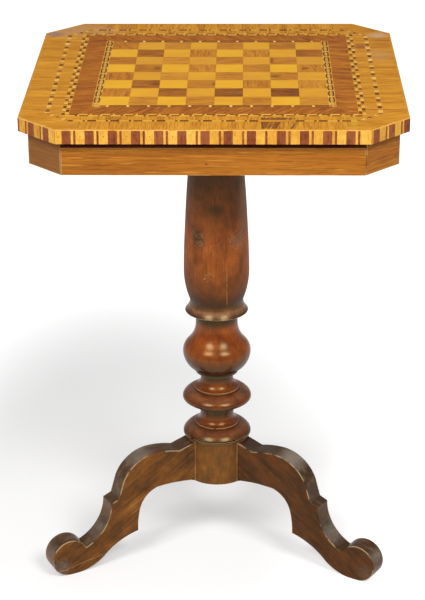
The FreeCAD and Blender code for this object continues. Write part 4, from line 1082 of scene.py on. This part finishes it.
# Turns a profile round the Z axis
def latheTree():
    tree, given = newTree("turnProfile", {"Segments": "Int", "Material": "Material"})
    count = add(tree, "GeometryNodeAttributeDomainSize",
                {"Geometry": given["Geometry"]}).outputs["Point Count"]
    columns = sums(tree, "ADD", given["Segments"], 1.0)
    grid = add(tree, "GeometryNodeMeshGrid", {
        "Size X": 1.0, "Size Y": 1.0, "Vertices X": columns, "Vertices Y": count}).outputs[0]
    place = partsOf(tree, add(tree, "GeometryNodeInputPosition").outputs[0])
    upward = sums(tree, "ADD", place[1], 0.5)
    row = sums(tree, "ROUND", sums(tree, "MULTIPLY", upward, sums(tree, "SUBTRACT", count, 1.0)))
    angle = sums(tree, "MULTIPLY", sums(tree, "ADD", place[0], 0.5), math.tau)

    def read(value, kind):
        return add(tree, "GeometryNodeSampleIndex",
                   {"Geometry": given["Geometry"], "Index": row, "Value": value},
                   data_type=kind, domain="POINT").outputs[0]

    profile = partsOf(tree, read(add(tree, "GeometryNodeInputPosition").outputs[0], "FLOAT_VECTOR"))
    grid = keep(tree, grid, "worn", read(named(tree, "worn"), "FLOAT"))
    ring = vectorOf(tree, sums(tree, "MULTIPLY", profile[0], sums(tree, "COSINE", angle)),
                    sums(tree, "MULTIPLY", profile[0], sums(tree, "SINE", angle)), profile[2])
    turned = add(tree, "GeometryNodeSetPosition", {"Geometry": grid, "Position": ring}).outputs[0]
    closed = add(tree, "GeometryNodeMergeByDistance", {"Geometry": turned, "Distance": 1e-6}).outputs[0]
    return closeTree(tree, closed, given["Material"])


# Merged, with normals outwards, and smooth but for its sharp corners
def settle(piece, angle=32):
    work = bmesh.new()
    work.from_mesh(piece.data)
    bmesh.ops.remove_doubles(work, verts=work.verts, dist=1e-7)
    bmesh.ops.recalc_face_normals(work, faces=work.faces)
    work.to_mesh(piece.data)
    work.free()
    piece.data.shade_smooth()
    piece.data.set_sharp_from_angle(angle=math.radians(angle))
    return piece


turnery = {
    "tones": [(0.0, paint(54, 23, 9)), (0.3, paint(98, 46, 17)), (0.55, paint(137, 73, 28)),
              (0.78, paint(156, 88, 36)), (1.0, paint(184, 118, 60))],
    "middle": paint(136, 78, 37),
    # the first tint is the arrises rubbed pale, the second is painted shade in the creases
    "wornTint": paint(196, 164, 116), "creaseShade": paint(34, 14, 5),
    # the wood's tone at each height, the shaft darker towards its top; the near-black stops under the
    # ring, the torus, the bulb and the collar and in the quirk above the collar are painted shade, and
    # the pale stops on the ring, the torus and the collar's upper shoulder are painted highlights; a
    # ramp holds 32 at most
    "toneShadeAndHighlightAt": [(0.170, paint(126, 79, 31)), (0.1775, paint(52, 23, 8)),
               (0.181, paint(98, 50, 21)), (0.187, paint(122, 78, 58)), (0.1895, paint(106, 54, 22)),
               (0.202, paint(128, 62, 23)), (0.212, paint(50, 20, 6)), (0.226, paint(34, 13, 4)),
               (0.230, paint(84, 40, 17)), (0.2375, paint(110, 54, 23)), (0.2432, paint(130, 84, 62)),
               (0.246, paint(114, 58, 23)), (0.258, paint(120, 60, 23)), (0.267, paint(62, 27, 9)),
               (0.278, paint(36, 14, 5)), (0.293, paint(70, 34, 14)), (0.304, paint(106, 52, 19)),
               (0.316, paint(145, 74, 25)), (0.351, paint(146, 68, 23)), (0.3605, paint(64, 26, 7)),
               (0.368, paint(34, 13, 4)), (0.3735, paint(78, 44, 24)), (0.3805, paint(166, 128, 104)),
               (0.3855, paint(110, 62, 34)), (0.390, paint(56, 24, 8)), (0.404, paint(82, 38, 13)),
               (0.431, paint(150, 81, 35)), (0.468, paint(181, 100, 44)), (0.500, paint(196, 108, 53)),
               (0.532, paint(153, 87, 49)), (0.575, paint(98, 57, 42)), (0.640, paint(56, 38, 38))],
    "mattFrom": (0.383, 0.40), "smoke": paint(64, 42, 30),
    # pale shake line right of the middle, low on the shaft: its ends fade in and out
    "shake": {"x": 0.0155, "foot": (0.392, 0.398), "head": (0.462, 0.450), "tint": paint(196, 140, 86)},
    # the plain drum is dull, mottled and browner, with a pale glue line beside each front leg
    "drumTop": (0.174, 0.168), "blotch": paint(70, 48, 22),
    "seam": {"bearings": (208.3, 328.3), "from": (0.0166, 0.0156), "tint": paint(160, 138, 104)},
    # smudges on the shaft, and a painted reflection down its right edge: middle, half size, tint,
    # strength
    "smudgesAndReflection": [((0.0, -0.040, 0.543), (0.017, 0.02, 0.010), paint(50, 32, 22), 0.65),
                ((-0.025, -0.033, 0.499), (0.013, 0.02, 0.020), paint(50, 36, 22), 0.8),
                ((0.028, -0.030, 0.494), (0.009, 0.02, 0.012), paint(124, 96, 72), 0.6),
                # a painted reflection down the right edge of the shaft
                ((0.038, -0.016, 0.530), (0.008, 0.03, 0.075), paint(142, 104, 78), 0.6)],
    # middle, half size, size and turn of the scratches, how rare they are, tint
    "scratches": [((-0.023, -0.034, 0.500), (0.013, 0.02, 0.018),
                   (0.009, 0.004, 0.0009), (0, 52, 0), 0.56, paint(200, 176, 140)),
                  ((0.028, -0.030, 0.494), (0.014, 0.02, 0.016),
                   (0.0018, 0.0018, 0.0018), (0, 0, 0), 0.57, paint(218, 202, 180)),
                  ((-0.008, -0.040, 0.490), (0.030, 0.02, 0.020),
                   (0.010, 0.004, 0.0009), (0, -44, 0), 0.61, paint(206, 168, 122)),
                  ((-0.010, -0.042, 0.440), (0.012, 0.02, 0.010),
                   (0.008, 0.004, 0.0010), (0, -30, 0), 0.60, paint(218, 196, 160)),
                  ((0.012, -0.042, 0.462), (0.020, 0.02, 0.030),
                   (0.0011, 0.004, 0.012), (0, 4, 0), 0.66, paint(206, 158, 108))],
}


def turneryFinish():
    wood = startWood("polishedTurnery", {
        "turn": (0, 90, 0), "figure": (0.06, 0.018, 0.018), "fibre": (0.03, 0.0016, 0.0016),
        "wavy": 1.2, "mottle": (0.03, 0.022, 0.022), "shares": (0.4, 0.3, 0.8),
        "tones": turnery["tones"], "gloss": (0.22, 0.30), "sheen": 0.60,
        "shine": (1.0, 0.76, 0.38, 1.0), "relief": 0.05, "bump": 0.35,
        "streaks": [((0.014, 0.0018, 0.0018), 0.60, 0.4, paint(62, 30, 16)),
                    ((0.03, 0.0010, 0.0010), 0.54, 0.4, paint(74, 36, 18))]})
    tree, source = wood["tree"], wood["source"]
    across, deep, height = partsOf(tree, source)
    low, high = turnery["toneShadeAndHighlightAt"][0][0], turnery["toneShadeAndHighlightAt"][-1][0]
    along = sums(tree, "DIVIDE", sums(tree, "SUBTRACT", height, low), high - low)
    stops = [((z - low) / (high - low), [c / m for c, m in zip(tint, turnery["middle"])])
             for z, tint in turnery["toneShadeAndHighlightAt"]]
    # painted shade under the turnings and painted highlights on their shoulders, multiplied into the
    # tone at each height
    tintWood(wood, 1.0, ramp(tree, along, stops), 1.0, "MULTIPLY")
    # the shaft's polish has gone matt, the turnings below it are still glossy
    matt = gate(tree, height, *turnery["mattFrom"])
    wood["rough"] = sums(tree, "MULTIPLY_ADD", matt, 0.30, wood["rough"])
    smoke = grainNoise(tree, source, (0.03, 0.03, 0.05), start=(0.1, 0.3, 0.2), detail=5.0, warp=0.8)
    tintWood(wood, product(tree, matt, gate(tree, smoke, 0.52, 0.7)), turnery["smoke"], 0.18)
    markWood(wood, turnery["smudgesAndReflection"], None, 0.5, 0.8)
    scratchWood(wood, turnery["scratches"])
    shake = turnery["shake"]
    away = sums(tree, "ABSOLUTE", sums(tree, "SUBTRACT", across, shake["x"]))
    line = product(tree, gate(tree, away, 0.0010, 0.0002), gate(tree, height, *shake["foot"]),
                   gate(tree, height, *shake["head"]), sums(tree, "LESS_THAN", deep, 0.0),
                   gate(tree, grainNoise(tree, source, (0.01, 0.01, 0.01)), 0.35, 0.55))
    tintWood(wood, line, shake["tint"], 0.5)
    wearArrises(wood, turnery["wornTint"], 0.6, 0.016, 0.34, 0.6)
    # painted shade in the creases of the turning
    worn = add(tree, "ShaderNodeAttribute", attribute_name="worn").outputs["Fac"]
    tintWood(wood, gate(tree, worn, -0.05, -0.75), turnery["creaseShade"], 0.8, dull=0.1)
    drum = gate(tree, height, *turnery["drumTop"])
    blotch = grainNoise(tree, source, (0.012, 0.012, 0.014), start=(0.5, 0.1, 0.2), detail=4.0)
    wood["rough"] = sums(tree, "MULTIPLY_ADD", drum, 0.2, wood["rough"])
    tintWood(wood, product(tree, drum, gate(tree, blotch, 0.42, 0.6)), turnery["blotch"], 0.4)
    for bearing in turnery["seam"]["bearings"]:
        x, y = math.cos(math.radians(bearing)), math.sin(math.radians(bearing))
        beside = sums(tree, "ADD", sums(tree, "MULTIPLY", across, -y), sums(tree, "MULTIPLY", deep, x))
        outward = sums(tree, "ADD", sums(tree, "MULTIPLY", across, x), sums(tree, "MULTIPLY", deep, y))
        seam = gate(tree, sums(tree, "ABSOLUTE", beside), *turnery["seam"]["from"])
        seam = product(tree, seam, sums(tree, "GREATER_THAN", outward, 0.0), drum)
        tintWood(wood, seam, turnery["seam"]["tint"], 0.6)
    return finishWood(wood)


def turnColumn():
    points, worn = turnedProfile()
    mesh = bpy.data.meshes.new("columnProfile")
    mesh.from_pydata([(p.x * mm, 0.0, p.y * mm) for p in points],
                     [(i, i + 1) for i in range(len(points) - 1)], [])
    mesh.attributes.new("worn", "FLOAT", "POINT").data.foreach_set("value", worn)
    piece = growPiece("turnedColumn", latheTree(), mesh,
                      {"Segments": column["segments"], "Material": turneryFinish()})
    putOn(settle(piece), None, "stand_and_top", ["column"])


turnColumn()
print("column turned")


legs = {
    "half": 15.0, "step": 4.2, "ease": 1.0, "inner": 3.0,
    # each leg's way out from the column in degrees, and how far off its wood lies in the grain
    "bearings": {"leg_back": 88.3, "leg_left": 208.3, "leg_right": 328.3},
    "shifts": {"leg_back": 1.3, "leg_left": 0.0, "leg_right": 2.7}, "cracked": "leg_left",
    # reach, height, bow to the next point: above 0 swells, below 0 is hollow
    "outline": [(44.2, 170, 0), (71, 162, 1.3), (108, 168, 10.4), (163.5, 131.5, 0), (171.5, 105.5, 0),
                (184, 100.5, -11.5), (225.92, 39.39, 22.19), (279.5, 28, 8.2), (251.5, 0, 0),
                (243, 0, 5.19), (194, 20, -4), (140.7, 45.5, -0.9), (138, 76, -6.9), (108, 110.5, -2),
                (44.2, 106.5, 0)],
    "tones": [(0.0, paint(38, 21, 9)), (0.3, paint(78, 43, 15)), (0.55, paint(116, 67, 23)),
              (0.78, paint(142, 87, 32)), (1.0, paint(178, 120, 56))],
    "darker": (0.52, 0.43, 0.36),     # of the cracked leg's tones, for the two others
    "blotch": paint(60, 42, 28), "wornTint": paint(196, 170, 132), "topTint": paint(58, 42, 30),
    "scuffTint": paint(150, 122, 92), "sheenTint": paint(160, 150, 138),
    # painted sheen on the upward faces of the knee, the ankle and the scroll: reach, height, half size,
    # strength
    "shines": [(0.132, 0.162, (0.024, 0.05, 0.020), 0.55), (0.205, 0.070, (0.016, 0.05, 0.030), 0.5),
               (0.268, 0.038, (0.020, 0.05, 0.012), 0.4)],
    # the scroll's end grain has gone grey: reach, height, half size
    "endGrain": (0.266, 0.015, (0.016, 0.05, 0.016)), "scrollTint": paint(146, 136, 124),
    # a pale shake from the scroll up into the ankle: where it starts, its slope and where it fades
    "crack": {"reach": 0.268, "height": 0.0125, "slope": 9, "fade": (-0.085, -0.06),
              "tint": paint(196, 142, 84)},
}


# The outline as a board that stands on edge, its arrises eased; place is each point's own in the grain,
# another attribute marks the arrises and upper the faces that look up
def sawnLeg(node, shift):
    bearing = math.radians(legs["bearings"][node])
    corners = legs["outline"]
    outline = []
    for i, corner in enumerate(corners):
        outline += bowed(corner, corners[(i + 1) % len(corners)], -corner[2], legs["step"])
    count = len(outline)
    normals = []
    for i in range(count):
        last, here, after = outline[i - 1], outline[i], outline[(i + 1) % count]
        way = (after - last).normalized()
        bend = (here - last).normalized().angle((after - here).normalized())
        normals.append(Vector((-way.y, way.x)) / max(0.5, math.cos(bend / 2)))
    half, ease = legs["half"], legs["ease"]
    # each ring: how far in from the outline, how far to the side, and its wear
    rings = [(legs["inner"], half, 0.0), (ease, half, 0.9), (ease * 0.3, half - ease * 0.3, 1.0),
             (0.0, half - ease, 0.9), (0.0, half - legs["inner"], 0.0)]
    rings += [(inward, -across, mark) for inward, across, mark in reversed(rings)]
    verts, places, worn, upper = [], [], [], []
    for inward, across, mark in rings:
        for point, normal in zip(outline, normals):
            flat = point - normal * inward
            reach, height = flat.x, flat.y
            verts.append(((reach * math.cos(bearing) - across * math.sin(bearing)) * mm,
                          (reach * math.sin(bearing) + across * math.cos(bearing)) * mm, height * mm))
            places.append((reach * mm + shift, across * mm + shift, height * mm))
            worn.append(mark)
            upper.append(max(0.0, normal.y) if inward == 0.0 else 0.0)
    faces = []
    for ring in range(len(rings) - 1):
        for i in range(count):
            a, b = ring * count + i, ring * count + (i + 1) % count
            faces.append((a, b, b + count, a + count))
    faces += [tuple(range(count)), tuple(range(len(verts) - 1, len(verts) - 1 - count, -1))]
    name = node.split("_")[1] + "SawnLeg"
    mesh = bpy.data.meshes.new(name)
    mesh.from_pydata(verts, [], faces)
    for title, values in (("worn", worn), ("upper", upper)):
        mesh.attributes.new(title, "FLOAT", "POINT").data.foreach_set("value", values)
    flatPlaces = [number for place in places for number in place]
    mesh.attributes.new("place", "FLOAT_VECTOR", "POINT").data.foreach_set("vector", flatPlaces)
    return settle(linkPiece(name, mesh), 40)


def legFinish(name, shift, tones, cracked):
    wood = startWood(name, {
        "ownPlace": True, "turn": (0, 32, 0), "figure": (0.10, 0.03, 0.010),
        "fibre": (0.035, 0.01, 0.0016), "wavy": 1.0, "mottle": (0.030, 0.03, 0.018),
        "shares": (0.75, 0.55, 0.9), "tones": tones, "gloss": (0.26, 0.40), "sheen": 0.30,
        "relief": 0.07, "bump": 0.5,
        "streaks": [((0.012, 0.005, 0.0016), 0.58, 0.5, paint(58, 34, 20)),
                    ((0.02, 0.01, 0.004), 0.58, 0.4, paint(118, 58, 26))]})
    tree, source = wood["tree"], wood["source"]
    blotch = grainNoise(tree, source, (0.016, 0.02, 0.012), start=(0.3, 0.1, 0.7), detail=5.0)
    tintWood(wood, gate(tree, blotch, 0.48, 0.7), legs["blotch"], 0.4)
    upper = add(tree, "ShaderNodeAttribute", attribute_name="upper").outputs["Fac"]
    lit = gate(tree, upper, 0.02, 0.5)
    tintWood(wood, lit, legs["topTint"], 0.78)
    scuff = grainNoise(tree, source, (0.030, 0.012, 0.010), start=(0.9, 0.4, 0.2), detail=5.0)
    tintWood(wood, product(tree, lit, gate(tree, scuff, 0.45, 0.7)), legs["scuffTint"], 0.3, dull=0.1)
    # painted sheen on the upward faces
    for reach, height, size, strength in legs["shines"]:
        shine = spot(tree, source, (reach + shift, shift, height), size, 0.4, 0.9)
        tintWood(wood, product(tree, lit, shine), legs["sheenTint"], strength * (0.6 if cracked else 1.0))
    reach, height, size = legs["endGrain"]
    end = spot(tree, source, (reach + shift, shift, height), size, 0.6, 0.9)
    lines = gate(tree, grainNoise(tree, source, (0.004, 0.01, 0.0014), detail=3.0), 0.4, 0.6)
    lines = product(tree, end, sums(tree, "MULTIPLY_ADD", lines, 0.6, 0.4))
    tintWood(wood, lines, legs["scrollTint"], 0.55 if cracked else 0.2, dull=0.15)
    if cracked:
        crackLeg(wood, shift)
    wearArrises(wood, legs["wornTint"], 0.65, 0.02, 0.42, 0.66)
    return finishWood(wood)


def crackLeg(wood, shift):
    tree, source, crack = wood["tree"], wood["source"], legs["crack"]
    split = add(tree, "ShaderNodeMapping",
                {"Vector": source, "Location": (crack["reach"] + shift, shift, crack["height"]),
                 "Rotation": (0.0, math.radians(crack["slope"]), 0.0)},
                vector_type="TEXTURE").outputs[0]
    along, _, above = partsOf(tree, split)
    wander = grainNoise(tree, source, (0.014, 0.02, 0.02), detail=5.0)
    wander = sums(tree, "MULTIPLY_ADD", wander, 0.006, above)
    line = gate(tree, sums(tree, "ABSOLUTE", wander), 0.0008, 0.0002)
    tintWood(wood, product(tree, line, gate(tree, along, *crack["fade"])), crack["tint"], 0.55)


def sawLegs():
    darker = [(stop, tuple(c * d for c, d in zip(tone, legs["darker"])) + (1.0,))
              for stop, tone in legs["tones"]]
    for node, shift in legs["shifts"].items():
        cracked = node == legs["cracked"]
        tones = legs["tones"] if cracked else darker
        finish = legFinish(node.split("_")[1] + "LegWood", shift, tones, cracked)
        putOn(sawnLeg(node, shift), finish, "stand_and_top", [node])


sawLegs()
print("legs sawn")


blockWood = insideWood("blockWood", (0, 0, 0), 0.02)
putOn(softened("column_block", "columnBlockEased", 1.0), blockWood, "stand_and_top",
      ["column_block"])
dress(insideWood("wedgeWood", (0, 90, 0), 0.006), "tenon_wedge")


screws = {
    "tones": [(0.35, paint(128, 122, 116)), (0.55, paint(96, 84, 74)), (0.7, paint(92, 54, 34))],
    "rust": (0.002, 0.002, 0.002), "relief": 0.05,
}


def screwSteel():
    material = bpy.data.materials.new("agedSteel")
    material.use_nodes = True
    tree = material.node_tree
    tree.nodes.clear()
    source = add(tree, "ShaderNodeTexCoord").outputs["Object"]
    rust = grainNoise(tree, source, screws["rust"], detail=5.0)
    bump = add(tree, "ShaderNodeBump",
               {"Height": rust, "Distance": screws["relief"] * mm, "Strength": 0.4})
    shader = add(tree, "ShaderNodeBsdfPrincipled", {
        "Base Color": ramp(tree, rust, screws["tones"]), "Metallic": 0.9,
        "Roughness": sums(tree, "MULTIPLY_ADD", rust, 0.5, 0.2), "Normal": bump.outputs[0]})
    add(tree, "ShaderNodeOutputMaterial", {"Surface": shader.outputs[0]})
    return material


dress(screwSteel(), "block_screws")
print("block, wedge and screws dressed")
